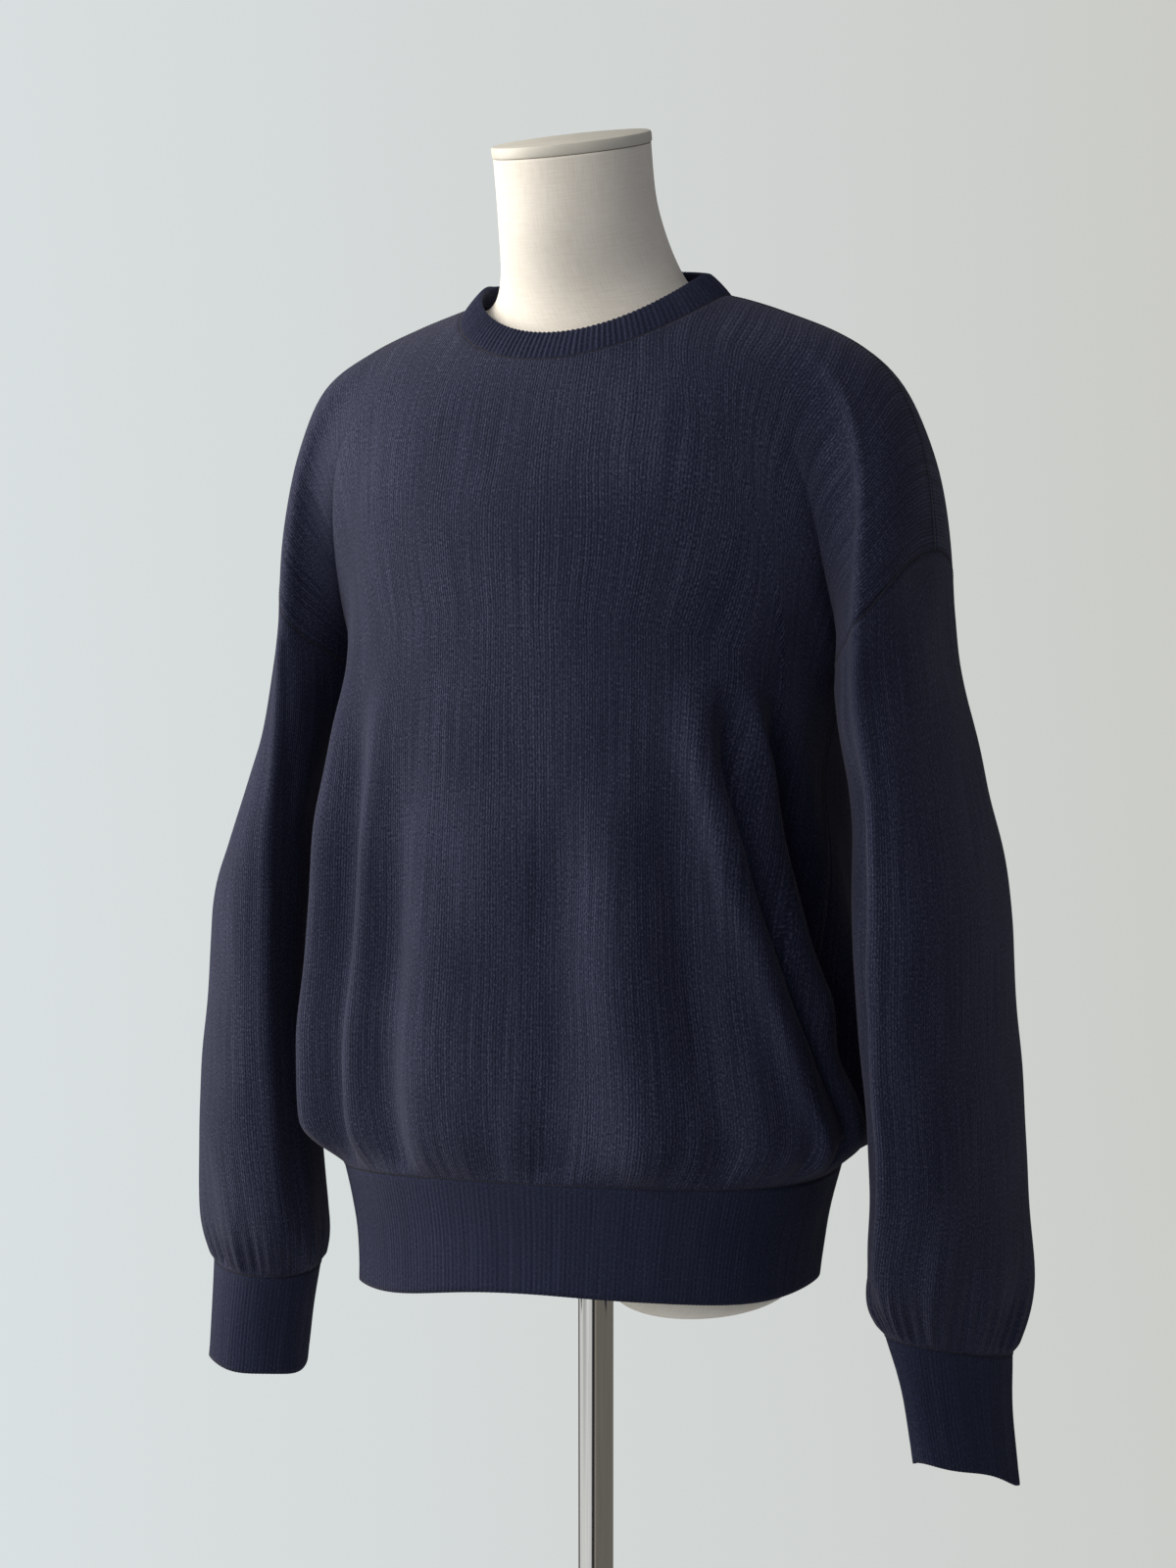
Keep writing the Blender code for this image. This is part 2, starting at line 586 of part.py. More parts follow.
def build_form(collection, finishes):
    """The dress form's torso, thigh stubs and neck cap."""
    angles = [2 * math.pi * k / FORM_COLUMNS for k in range(FORM_COLUMNS)]
    rings = [[ring_point(between(FORM, row / FORM_ROWS), a) for a in angles] for row in range(FORM_ROWS + 1)]
    loft("form_torso", rings, collection, finishes["form_torso"])
    for side, mirror in (("left", 1), ("right", -1)):
        rings = []
        for z, half_width, half_depth in THIGH:
            ring = [(mirror * THIGH_X + half_width * math.cos(a), half_depth * math.sin(a), z) for a in angles]
            rings.append(ring)
        loft(f"form_thigh_{side}", rings, collection, finishes[f"form_thigh_{side}"])
    top = FORM[0]
    front_y, front_z, back_y, back_z = top[4:8]
    lean = math.atan2(back_z - front_z, back_y - front_y)
    cap = cylinder("form_neck_cap", CAP_RADIUS, 0.0, CAP_THICKNESS, collection, finishes["form_neck_cap"])
    middle_y, middle_z = (front_y + back_y) / 2, (front_z + back_z) / 2
    cap.location = (0.0, middle_y - CAP_GAP * math.sin(lean), middle_z + CAP_GAP * math.cos(lean))
    cap.rotation_euler = (lean, 0.0, 0.0)
    round_edges(cap, 0.0015, 2)


def cylinder(name, radius, low, high, collection, finish, segments=FORM_COLUMNS):
    """An upright cylinder between two heights."""
    bm = bmesh.new()
    bmesh.ops.create_cone(bm, cap_ends=True, segments=segments, radius1=radius, radius2=radius, depth=high - low)
    bmesh.ops.translate(bm, verts=bm.verts, vec=(0.0, 0.0, (low + high) / 2))
    mesh = bpy.data.meshes.new(name)
    bm.to_mesh(mesh)
    bm.free()
    return add_object(name, mesh, collection, finish)


def round_edges(piece, width, segments):
    """Round a piece's sharp edges."""
    edge = piece.modifiers.new("rounded edge", "BEVEL")
    edge.width = width
    edge.segments = segments
    edge.limit_method = "ANGLE"


def turned(name, profile, collection, finish, steps=32):
    """A turned piece from its profile of radius and height, outer side down first."""
    mesh = bpy.data.meshes.new(name)
    count = len(profile)
    mesh.from_pydata([(r, 0.0, z) for r, z in profile], [(i, (i + 1) % count) for i in range(count)], [])
    piece = add_object(name, mesh, collection, finish)
    screw = piece.modifiers.new("turned", "SCREW")
    screw.steps = steps
    screw.render_steps = steps
    screw.use_merge_vertices = True
    screw.merge_threshold = 0.0001
    return piece


def build_stand(collection, finishes):
    """The pole, the round base plate and the socket that holds the pole."""
    foot = BASE_THICKNESS + TOUCH_GAP
    head = TORSO_BOTTOM - TOUCH_GAP
    cylinder("pole", POLE_RADIUS, foot, head, collection, finishes["pole"], 32)
    plate = cylinder("base_plate", BASE_RADIUS, 0.0, BASE_THICKNESS, collection, finishes["base_plate"], 48)
    round_edges(plate, 0.003, 2)
    inner = POLE_RADIUS + TOUCH_GAP
    top = foot + SOCKET_HEIGHT
    profile = ((inner, top), (SOCKET_RADIUS - 0.003, top), (SOCKET_RADIUS, top - 0.003), (SOCKET_RADIUS, foot))
    turned("base_socket", (*profile, (inner, foot)), collection, finishes["base_socket"])


def main():
    """Build the sweater and its dress form."""
    clear_scene()
    collection = part_collection("sweater_on_dress_form")
    cloth_pieces = (
        "front",
        "back",
        "sleeve_left",
        "sleeve_right",
        "cuff_left",
        "cuff_right",
        "hem_band",
        "neckband",
    )
    cloth = {name: material(f"{name} knit", NAVY, 0.95, 0.0) for name in cloth_pieces}
    finishes = {
        "form_torso": material("torso linen", LINEN, 0.9, 0.0),
        "form_thigh_left": material("left thigh linen", LINEN, 0.9, 0.0),
        "form_thigh_right": material("right thigh linen", LINEN, 0.9, 0.0),
        "form_neck_cap": material("cap resin", CAP_BEIGE, 0.5, 0.0),
        "pole": material("pole chrome", CHROME, 0.12, 1.0),
        "base_plate": material("plate steel", STEEL, 0.3, 1.0),
        "base_socket": material("socket chrome", CHROME, 0.15, 1.0),
    }
    build_garment(collection, cloth)
    build_neckband(collection, cloth["neckband"])
    build_form(collection, finishes)
    build_stand(collection, finishes)


main()
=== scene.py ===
# %% [markdown]
# # A fine-knit sweater on a dress form
#
# The real thing is an oversized crew-neck pullover in dark heathered wool, hung on a linen-covered dress form
# with a chrome pole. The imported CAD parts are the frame: every piece below lies on the solid that it stands
# for. The sweater is one surface. Each panel is a grid whose points are laid on that surface, so seams meet.

import json
import math

import bmesh
import bpy
import numpy as np

from mathutils import Matrix, Vector

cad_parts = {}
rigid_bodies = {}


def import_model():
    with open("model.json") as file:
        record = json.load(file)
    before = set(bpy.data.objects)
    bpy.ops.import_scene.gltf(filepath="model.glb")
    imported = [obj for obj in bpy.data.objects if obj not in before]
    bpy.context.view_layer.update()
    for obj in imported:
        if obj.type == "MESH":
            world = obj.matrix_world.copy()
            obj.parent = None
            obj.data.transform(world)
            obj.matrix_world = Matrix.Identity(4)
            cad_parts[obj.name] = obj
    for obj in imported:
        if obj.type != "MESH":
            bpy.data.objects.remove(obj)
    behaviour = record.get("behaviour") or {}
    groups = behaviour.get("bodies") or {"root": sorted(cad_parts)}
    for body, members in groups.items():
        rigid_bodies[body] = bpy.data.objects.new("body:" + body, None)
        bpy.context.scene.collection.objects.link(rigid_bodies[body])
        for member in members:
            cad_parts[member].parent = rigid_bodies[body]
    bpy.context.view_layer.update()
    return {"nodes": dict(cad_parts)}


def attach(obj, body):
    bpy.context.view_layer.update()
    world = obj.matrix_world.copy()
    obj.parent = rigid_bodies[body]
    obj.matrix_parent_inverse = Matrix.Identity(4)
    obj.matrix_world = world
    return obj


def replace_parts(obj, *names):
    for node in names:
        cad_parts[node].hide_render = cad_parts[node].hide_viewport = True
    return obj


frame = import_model()
print("frame nodes:", ", ".join(sorted(frame["nodes"])))

# %% [markdown]
# ## Sizes
#
# The same tables shape the CAD solids. A knitter's pattern would give rings of the garment in the same way:
# the neckline, the yoke, the armholes, the body under the arms, the sleeves and the ribbed bands. All are in
# metres. The figure faces -Y, its left is +X, and the origin is on the floor under the pole.

# %% Rings of the yoke, from the neckline to the underarm
# Columns: left_x, right_x, side_y, side_z, front_y, front_z, back_y, back_z, square, crown
YOKE = (
    (0.100, 0.100, 0.002, 1.406, -0.088, 1.359, 0.068, 1.416, 2.0, 1.4),
    (0.140, 0.140, -0.002, 1.393, -0.100, 1.335, 0.088, 1.398, 2.0, 1.4),
    (0.180, 0.178, -0.005, 1.376, -0.110, 1.308, 0.100, 1.374, 2.0, 1.4),
    (0.208, 0.208, -0.006, 1.354, -0.118, 1.278, 0.107, 1.343, 2.0, 1.4),
    (0.226, 0.221, -0.002, 1.321, -0.124, 1.250, 0.111, 1.310, 2.1, 1.4),
    (0.237, 0.227, 0.006, 1.277, -0.128, 1.218, 0.114, 1.270, 2.2, 1.4),
    (0.250, 0.230, 0.014, 1.232, -0.130, 1.186, 0.116, 1.212, 2.3, 1.4),
)
NECK_TOP = (0.086, 0.086, 0.000, 1.421, -0.074, 1.378, 0.054, 1.432, 2.0, 1.4)

# %% Armholes, from the drop shoulder's outer point to the underarm point
# Columns: outer_x, outer_z, inner_x, inner_z, centre_y, half_depth, front_dip
ARMHOLE = {
    "left": (0.252, 1.228, 0.188, 1.142, 0.004, 0.090, 0.018),
    "right": (0.242, 1.232, 0.190, 1.142, 0.018, 0.080, 0.014),
}
ARMHOLE_SQUARE = 2.1
ARMHOLE_POINTED = 0.70
YOKE_LIFT = 0.240
LIFT_COLUMNS = 6
HOLE_SHARE = 0.26
# The sleeve's outer side leaves the armhole more slowly than its inner side
OUTER_SHARE = 0.16

# %% Sections of the body under the arms, and of the hem band
# Columns: side_z, front_z, back_z, drop, left_x, right_x, front_y, back_y, square
BODY = (
    (1.136, 1.186, 1.212, 0.000, 0.182, 0.184, -0.130, 0.116, 2.3),
    (1.070, 1.115, 1.130, 0.000, 0.174, 0.188, -0.130, 0.116, 2.4),
    (1.000, 1.040, 1.040, 0.002, 0.174, 0.196, -0.132, 0.120, 2.4),
    (0.935, 0.960, 0.960, 0.005, 0.182, 0.205, -0.135, 0.127, 2.3),
    (0.875, 0.891, 0.891, 0.010, 0.196, 0.211, -0.139, 0.133, 2.3),
    (0.826, 0.838, 0.838, 0.016, 0.206, 0.212, -0.141, 0.135, 2.2),
    (0.796, 0.809, 0.805, 0.022, 0.184, 0.194, -0.134, 0.128, 2.2),
)
HEM_BAND = (
    BODY[-1],
    (0.754, 0.771, 0.765, 0.026, 0.173, 0.184, -0.130, 0.124, 2.2),
    (0.712, 0.733, 0.724, 0.030, 0.167, 0.182, -0.130, 0.122, 2.2),
)
FOLD_END = 0.84

# %% Folds of the body: angles run from the centre front towards the figure's left, in degrees
# Columns: top_z, bottom_z, top_angle, bottom_angle, half_width, rise
BODY_FOLDS = (
    (1.17, 0.79, 36.0, 86.0, 10.0, 0.017),
    (1.17, 0.86, 56.0, 94.0, 9.0, -0.017),
    (1.09, 0.86, 84.0, 108.0, 9.0, 0.008),
    (1.12, 0.80, 33.0, 44.0, 7.0, -0.009),
    (1.10, 0.79, 17.0, 26.0, 8.0, 0.005),
    (1.10, 0.79, 7.0, 8.0, 8.0, -0.005),
    (1.04, 0.79, -16.0, -16.0, 9.0, 0.004),
    (1.10, 0.79, -27.0, -27.0, 7.0, -0.005),
    (1.17, 0.79, -34.0, -38.0, 6.0, 0.009),
    (1.16, 0.79, -45.0, -48.0, 7.0, -0.010),
    (1.19, 0.79, -56.0, -60.0, 9.0, 0.020),
    (1.12, 0.79, -92.0, -90.0, 18.0, -0.010),
    (1.15, 0.80, -118.0, -112.0, 10.0, 0.012),
    (1.17, 0.80, 116.0, 115.0, 13.0, 0.016),
    (1.13, 0.79, -140.0, -134.0, 10.0, -0.009),
    (1.12, 0.79, 148.0, 140.0, 10.0, -0.009),
    (1.10, 0.79, 172.0, 168.0, 9.0, 0.006),
    (1.08, 0.79, -164.0, -158.0, 9.0, 0.006),
)

# %% Sections of the sleeves and cuffs
# Columns: z, centre_x, centre_y, half_width, half_thickness, turn, tilt, square
SLEEVE = {
    "left": (
        (1.180, 0.244, 0.000, 0.090, 0.038, 4.0, 0.000, 2.2),
        (1.100, 0.253, -0.008, 0.091, 0.040, 5.0, 0.000, 2.2),
        (1.000, 0.257, -0.012, 0.090, 0.041, 8.0, 0.004, 2.2),
        (0.900, 0.263, -0.013, 0.089, 0.038, 11.0, 0.008, 2.2),
        (0.800, 0.270, -0.010, 0.082, 0.038, 15.0, 0.016, 2.2),
        (0.730, 0.270, -0.004, 0.077, 0.038, 24.0, 0.024, 2.2),
        (0.682, 0.269, 0.002, 0.053, 0.029, 30.0, 0.026, 2.1),
    ),
    "right": (
        (1.180, 0.247, 0.010, 0.083, 0.033, 16.0, 0.000, 2.1),
        (1.100, 0.264, 0.000, 0.085, 0.037, 26.0, 0.000, 2.1),
        (1.000, 0.275, -0.008, 0.085, 0.039, 32.0, 0.000, 2.1),
        (0.900, 0.281, -0.013, 0.085, 0.040, 36.0, 0.000, 2.1),
        (0.800, 0.280, -0.018, 0.082, 0.045, 40.0, 0.000, 2.1),
        (0.725, 0.276, -0.018, 0.075, 0.047, 44.0, 0.000, 2.1),
        (0.682, 0.274, -0.018, 0.053, 0.040, 48.0, 0.000, 2.1),
    ),
}
CUFF = {
    "left": (
        SLEEVE["left"][-1],
        (0.640, 0.276, 0.002, 0.048, 0.022, 30.0, 0.028, 2.1),
        (0.595, 0.283, 0.002, 0.046, 0.021, 30.0, 0.030, 2.1),
    ),
    "right": (
        SLEEVE["right"][-1],
        (0.643, 0.278, -0.020, 0.048, 0.038, 48.0, 0.000, 2.1),
        (0.604, 0.281, -0.022, 0.046, 0.037, 48.0, 0.000, 2.1),
    ),
}

# %% The dress form: rings from the top of the neck to the hips, in the yoke's columns
TORSO_BOTTOM = 0.750
FORM = (
    (0.0550, 0.0550, -0.039, 1.506, -0.093, 1.492, 0.015, 1.520, 2.0, 1.0),
    (0.0560, 0.0560, -0.030, 1.465, -0.084, 1.448, 0.026, 1.477, 2.0, 1.0),
    (0.0640, 0.0640, -0.014, 1.427, -0.066, 1.404, 0.047, 1.438, 2.0, 1.0),
    (0.0788, 0.0788, -0.005, 1.4066, -0.066, 1.374, 0.056, 1.416, 2.0, 1.2),
    (0.1088, 0.1088, -0.003, 1.3976, -0.079, 1.345, 0.076, 1.396, 2.0, 1.4),
    (0.1488, 0.1488, -0.004, 1.3859, -0.092, 1.316, 0.086, 1.368, 1.9, 1.4),
    (0.1788, 0.1788, -0.006, 1.3709, -0.098, 1.290, 0.090, 1.338, 1.85, 1.4),
    (0.1918, 0.1918, -0.005, 1.3526, -0.102, 1.266, 0.093, 1.310, 1.85, 1.4),
    (0.1918, 0.1918, -0.003, 1.3136, -0.106, 1.240, 0.095, 1.280, 1.9, 1.4),
    (0.1788, 0.1788, 0.000, 1.2586, -0.109, 1.208, 0.096, 1.235, 2.0, 1.4),
    (0.1640, 0.1640, 0.000, 1.2000, -0.110, 1.175, 0.094, 1.190, 2.1, 1.4),
    (0.1530, 0.1530, 0.000, 1.1300, -0.104, 1.120, 0.090, 1.125, 2.2, 1.4),
    (0.1280, 0.1280, 0.000, 1.0400, -0.088, 1.040, 0.082, 1.040, 2.2, 1.0),
    (0.1240, 0.1240, 0.000, 1.0000, -0.085, 1.000, 0.082, 1.000, 2.2, 1.0),
    (0.1460, 0.1460, 0.000, 0.9000, -0.096, 0.900, 0.096, 0.900, 2.2, 1.0),
    (0.1640, 0.1640, 0.000, 0.8300, -0.110, 0.830, 0.110, 0.830, 2.2, 1.0),
    (0.1620, 0.1620, 0.000, 0.7850, -0.114, 0.785, 0.111, 0.785, 2.2, 1.0),
    (0.1580, 0.1580, 0.000, TORSO_BOTTOM, -0.112, TORSO_BOTTOM, 0.109, TORSO_BOTTOM, 2.2, 1.0),
)
# Columns: height, half width, half depth
THIGH_X = 0.086
THIGH = (
    (0.7497, 0.0680, 0.0900),
    (0.724, 0.0680, 0.0900),
    (0.709, 0.0660, 0.0860),
    (0.700, 0.0600, 0.0780),
    (0.696, 0.0490, 0.0650),
)

# %% [markdown]
# ## The surface
#
# A curve through a table's rows gives a ring at any height, and an angle gives a point of that ring. The
# rings are squarer or rounder by a superellipse. Working on whole arrays of angles keeps this quick.

# %% Curves through the tables
def between(rows, t):
    """The table's row at t, from 0 at its first row to 1 at its last, on a smooth curve through the rows."""
    rows = np.asarray(rows, float)
    last = len(rows) - 1
    at = min(max(t, 0.0), 1.0) * last
    i = min(int(at), last - 1)
    f = at - i
    before, here = rows[max(i - 1, 0)], rows[i]
    after, beyond = rows[i + 1], rows[min(i + 2, last)]
    slope_here, slope_after = (after - before) / 2, (beyond - here) / 2
    return (
        (2 * f**3 - 3 * f**2 + 1) * here
        + (f**3 - 2 * f**2 + f) * slope_here
        + (3 * f**2 - 2 * f**3) * after
        + (f**3 - f**2) * slope_after
    )


def soft(t):
    """0 up to t = 0, 1 from t = 1, and a soft S between."""
    t = np.clip(t, 0.0, 1.0)
    return t * t * (3 - 2 * t)


def bump(x, half_width):
    """A soft hill of height 1 at x = 0."""
    return np.exp(-((x / half_width) ** 2))


def rounded(angle, square):
    """The cosine and sine of a superellipse: 2 is an ellipse, and more is squarer."""
    c, s = np.cos(angle), np.sin(angle)
    return np.sign(c) * np.abs(c) ** (2 / square), np.sign(s) * np.abs(s) ** (2 / square)


# %% Points of a yoke ring, an armhole and a sleeve section
def ring_points(row, angle):
    """Points of a ring that hangs from its shoulder line, from the figure's left by the front."""
    left_x, right_x, side_y, side_z, front_y, front_z, back_y, back_z, square, crown = row
    c, s = rounded(angle, square)
    reach = np.abs(s)
    x = np.where(c >= 0, left_x, right_x) * c
    y = side_y + (np.where(s >= 0, front_y, back_y) - side_y) * reach
    z = side_z + (np.where(s >= 0, front_z, back_z) - side_z) * reach**crown
    return np.stack((x, y, z), axis=-1)


def armhole_points(side, angle):
    """Points of an armhole loop, from the outer point by the front to the underarm point."""
    outer_x, outer_z, inner_x, inner_z, centre_y, half_depth, front_dip = ARMHOLE[side]
    c, s = rounded(angle, ARMHOLE_SQUARE)
    climb = ((1 + c) / 2) ** ARMHOLE_POINTED
    x = inner_x + (outer_x - inner_x) * climb
    z = inner_z + (outer_z - inner_z) * climb - front_dip * s * s
    mirror = 1 if side == "left" else -1
    return np.stack((mirror * x, centre_y * climb - half_depth * s, z), axis=-1)


def sleeve_points(row, angle, side):
    """Points of a sleeve's section, from the outer side by the front edge to the inner side."""
    z, centre_x, centre_y, half_width, half_thickness, turn, tilt, square = row
    turn = math.radians(turn)
    out = np.array((math.cos(turn), -math.sin(turn), 0.0))
    front = np.array((-math.sin(turn), -math.cos(turn), 0.0))
    c, s = rounded(angle, square)
    middle = np.array((centre_x, centre_y, z))
    points = middle + out * half_thickness * c[:, None] + front * half_width * s[:, None]
    points[:, 2] += tilt / 2 * s
    points[:, 0] *= 1 if side == "left" else -1
    return points


# %% Points of a body section, with its folds
def fold_rise(angle, z):
    """How far the folds move points of the body out of their section."""
    rise = np.zeros_like(angle)
    for top_z, bottom_z, top_angle, bottom_angle, half_width, height in BODY_FOLDS:
        along = (top_z - z) / (top_z - bottom_z)
        centre = top_angle + (bottom_angle - top_angle) * np.clip(along, 0.0, 1.0)
        away = (np.degrees(angle) - centre + 180.0) % 360.0 - 180.0
        rise += height * soft(along * 2.5) * bump(away, half_width)
    return rise


def body_points(row, angle, depth):
    """Points of a body section. The angle runs from the centre front towards the figure's left."""
    side_z, front_z, back_z, drop, left_x, right_x, front_y, back_y, square = row
    s, c = rounded(math.pi / 2 - angle, square)
    x = s * np.where(s >= 0, left_x, right_x)
    y = np.where(c >= 0, c * front_y, -c * back_y)
    z = side_z + (np.where(c >= 0, front_z, back_z) - side_z) * c * c - drop * 0.5 * (1 - x / right_x)
    out = np.stack((s / left_x, -c / 0.13, np.zeros_like(s)), axis=-1)
    out /= np.linalg.norm(out, axis=1)[:, None]
    return np.stack((x, y, z), axis=-1) + out * (depth * fold_rise(angle, z))[:, None]


# %% [markdown]
# ## Columns round the garment
#
# One ring has 100 columns: column 0 is the left shoulder, 50 the right shoulder, 25 the centre front and 75
# the centre back. Columns 10, 40, 60 and 90 end at the underarm points. The yoke's last ring lies along both
# armholes and the top of the body, so the yoke, body and sleeves share their edges.

# %% The ring where the yoke ends
UNDERARMS = (10, 40, 60, 90)


def body_angle(column):
    """The body's angle at a column, which runs on round the back from column 40 to 60."""
    front = math.pi / 2 - math.pi * (column - 10) / 30
    back = -math.pi / 2 - math.pi * (column - 60) / 30
    return np.where(column < 50, front, back)


def from_underarm(column):
    """How many columns away the nearest underarm point is."""
    return np.min([np.abs(column - underarm) for underarm in UNDERARMS], axis=0)


def underarm_points(column):
    """Points of the yoke's last ring."""
    quarter = math.pi / 10
    left_angle = np.where(column <= 50, quarter * column, quarter * (column - 80))
    right_angle = np.where(column <= 50, quarter * (50 - column), 2 * math.pi - quarter * (column - 50))
    left, right = armhole_points("left", left_angle), armhole_points("right", right_angle)
    body = body_points(BODY[0], body_angle(column), 0.0)
    left_tip = armhole_points("left", np.array([math.pi]))
    right_tip = armhole_points("right", np.array([math.pi]))
    left_half = ((column < 25) | (column > 75))[:, None]
    tip = np.where(left_half, left_tip, right_tip)
    top_left = body_points(BODY[0], np.array([math.pi / 2]), 0.0)
    top_right = body_points(BODY[0], np.array([-math.pi / 2]), 0.0)
    pull = (1 - soft(from_underarm(column) / 2))[:, None]
    body += (tip - np.where(left_half, top_left, top_right)) * pull
    on_left = (column <= 10) | (column >= 90)
    on_right = (column >= 40) & (column <= 60)
    return np.where(on_left[:, None], left, np.where(on_right[:, None], right, body))


# %% A yoke ring, pinched towards the underarms as it comes down
def yoke_points(t, column):
    """Points of the yoke, from the neckline at t = 0 to the underarms at t = 1."""
    ease = soft(from_underarm(column) / LIFT_COLUMNS)
    pinch = (t**4 * (1 + 4 * (1 - t) * ease))[:, None]
    lift = np.zeros((len(column), 3))
    lift[:, 2] = YOKE_LIFT * ease * (1 - t)
    plain = ring_points(between(YOKE, t), math.pi * column / 50)
    return plain * (1 - pinch) + (underarm_points(column) + lift) * pinch


# %% [markdown]
# ## From a table of points to a piece of cloth
#
# A cloth panel starts as a flat grid, as a cutter lays it out. Its points are then moved onto the surface,
# and its UV map keeps their places in the flat cut, in metres, so that the knit's wales run as they do in the
# real panel. A Solidify modifier gives the wall its thickness inwards.

# %% Lay a grid on a table of points
CLOTH_WALL = 0.0015
# Points closer than this are one point where two grids meet
MERGE = 1e-5


def cloth_mesh(name, tables):
    """One mesh from tables of points and flat places, each laid on a grid and joined at its edges."""
    bm = bmesh.new()
    uv = bm.loops.layers.uv.new("flat")
    flat_of = {}
    for points, flat in tables:
        rows, columns = points.shape[:2]
        made = bmesh.ops.create_grid(bm, x_segments=columns - 1, y_segments=rows - 1, size=1.0)["verts"]
        for vertex in made:
            i = round((vertex.co.x + 1) / 2 * (columns - 1))
            j = round((vertex.co.y + 1) / 2 * (rows - 1))
            vertex.co = points[j, i]
            flat_of[vertex] = flat[j, i]
    for face in bm.faces:
        face.smooth = True
        for loop in face.loops:
            loop[uv].uv = flat_of[loop.vert]
    bmesh.ops.remove_doubles(bm, verts=bm.verts, dist=MERGE)
    mesh = bpy.data.meshes.new(name)
    bm.to_mesh(mesh)
    bm.free()
    return mesh


def add_piece(name, mesh, material):
    """Add a mesh to the scene as a piece that rides on the stand."""
    mesh.materials.append(material)
    piece = bpy.data.objects.new(name, mesh)
    bpy.context.scene.collection.objects.link(piece)
    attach(piece, "root")
    return piece


def give_wall(piece, thickness):
    """Give a one-sided piece a wall inwards."""
    wall = piece.modifiers.new("cloth wall", "SOLIDIFY")
    wall.thickness = thickness
    wall.offset = -1.0


# %% Lift a table of points along its own normals
def table_normals(points, closed=False):
    """The outward direction at each point of a table whose rows run down and whose columns run clockwise."""
    if closed:
        wrapped = np.concatenate((points[:, -2:-1], points, points[:, 1:2]), axis=1)
        across = wrapped[:, 2:] - wrapped[:, :-2]
    else:
        across = np.gradient(points, axis=1)
    down = np.gradient(points, axis=0)
    normal = np.cross(across, down)
    return normal / np.maximum(np.linalg.norm(normal, axis=2), 1e-12)[:, :, None]


def lifted(points, height, closed=False):
    """The points moved out along the surface by a height each."""
    return points + table_normals(points, closed) * height[:, :, None]


def lengths_down(points):
    """How far down its column each point lies, measured along the cloth."""
    steps = np.linalg.norm(np.diff(points, axis=0), axis=2)
    return np.concatenate((np.zeros((1, points.shape[1])), np.cumsum(steps, axis=0)))


def lengths_round(points):
    """How far round its row each point lies, measured along the cloth."""
    steps = np.linalg.norm(np.diff(points, axis=1), axis=2)
    return np.concatenate((np.zeros((points.shape[0], 1)), np.cumsum(steps, axis=1)), axis=1)


def flat_grid(flat_x, flat_y):
    """The flat places of a table from those of its columns and of its rows."""
    return np.stack(np.broadcast_arrays(flat_x[None, :], flat_y[:, None]), axis=-1)


# %% [markdown]
# ## The body and yoke
#
# The real body is two knitted panels, joined at the shoulders, sides and drop-shoulder armholes. It hangs
# wide over the form and blouses over the hem band. The main folds are the CAD part's own. Here the rows are
# closer, so the large folds over the figure's left hip get their crisp edges and the gathers over the hem get
# their true pitch. The yoke's last row and the body's first are one, evened out so that it stays smooth.

# %% Rows and columns of the fine grid
PER_COLUMN = 8
YOKE_ROWS = 46
BODY_ROWS = 84
ring_columns = np.arange(0, 100, 1 / PER_COLUMN)
body_columns = np.concatenate((np.arange(10, 40, 1 / PER_COLUMN), np.arange(60, 90, 1 / PER_COLUMN)))
half_body = len(body_columns) // 2
print("columns round the yoke and body:", len(ring_columns), len(body_columns))

# %% Soft unevenness, as in any worn knit
rng = np.random.default_rng(7)
WAVES = [
    (
        rng.uniform(-1, 1, 3) * 2 * math.pi / rng.uniform(0.05, 0.16),
        rng.uniform(0, 2 * math.pi),
        rng.uniform(0.4, 1.0),
    )
    for _ in range(14)
]


def unevenness(points):
    """Slow hills and hollows between about -1 and 1, from the place in space."""
    total = sum(size * np.sin(points @ wave + phase) for wave, phase, size in WAVES)
    return total / sum(size for _, _, size in WAVES) * 2


# %% The yoke and body as full rings
def body_row(t, column):
    """Points of the body, from the underarms at t = 0 to the hem seam at t = 1."""
    if t == 0:
        return underarm_points(column)
    angle = body_angle(column)
    depth = (1 - soft((t - FOLD_END) / (1 - FOLD_END))) * soft(t / 0.10)
    points = body_points(between(BODY, t), angle, depth)
    top_shift = underarm_points(column) - body_points(BODY[0], angle, 0.0)
    return points + top_shift * (1 - soft(t / 0.14))


yoke = np.array([yoke_points(t, ring_columns) for t in np.linspace(0, 1, YOKE_ROWS)])
body = np.array([body_row(t, body_columns) for t in np.linspace(0, 1, BODY_ROWS)])
print("yoke and body tables:", yoke.shape, body.shape)

# %% The sleeves as full rings too, because the seam into each armhole is evened out with them
SLEEVE_ROWS = 112
ring_turn = np.linspace(0, 2 * math.pi, 20 * PER_COLUMN + 1)
half_ring = 10 * PER_COLUMN
last_column = 100 * PER_COLUMN
# The yoke's column at each column of a sleeve, from its outer side by the front and back again
ARM_COLUMNS = {
    "left": [*range(half_ring + 1), *range(last_column - half_ring + 1, last_column), 0],
    "right": [
        *range(5 * half_ring, 4 * half_ring - 1, -1),
        *range(6 * half_ring - 1, 5 * half_ring - 1, -1),
    ],
}


def sleeve_rows(side):
    """Points of a sleeve, from the armhole down to the cuff seam."""
    sections = SLEEVE[side]
    hole = armhole_points(side, ring_turn)
    rows = []
    for t in np.linspace(0, 1, SLEEVE_ROWS):
        ring = sleeve_points(between(sections, t), ring_turn, side)
        hung = hole.copy()
        hung[:, 2] -= t * (hole[:, 2] - sections[-1][0])
        blend = soft(t / (HOLE_SHARE + OUTER_SHARE * (0.5 + 0.5 * np.cos(ring_turn))))[:, None]
        rows.append(hung * (1 - blend) + ring * blend)
    return np.array(rows)


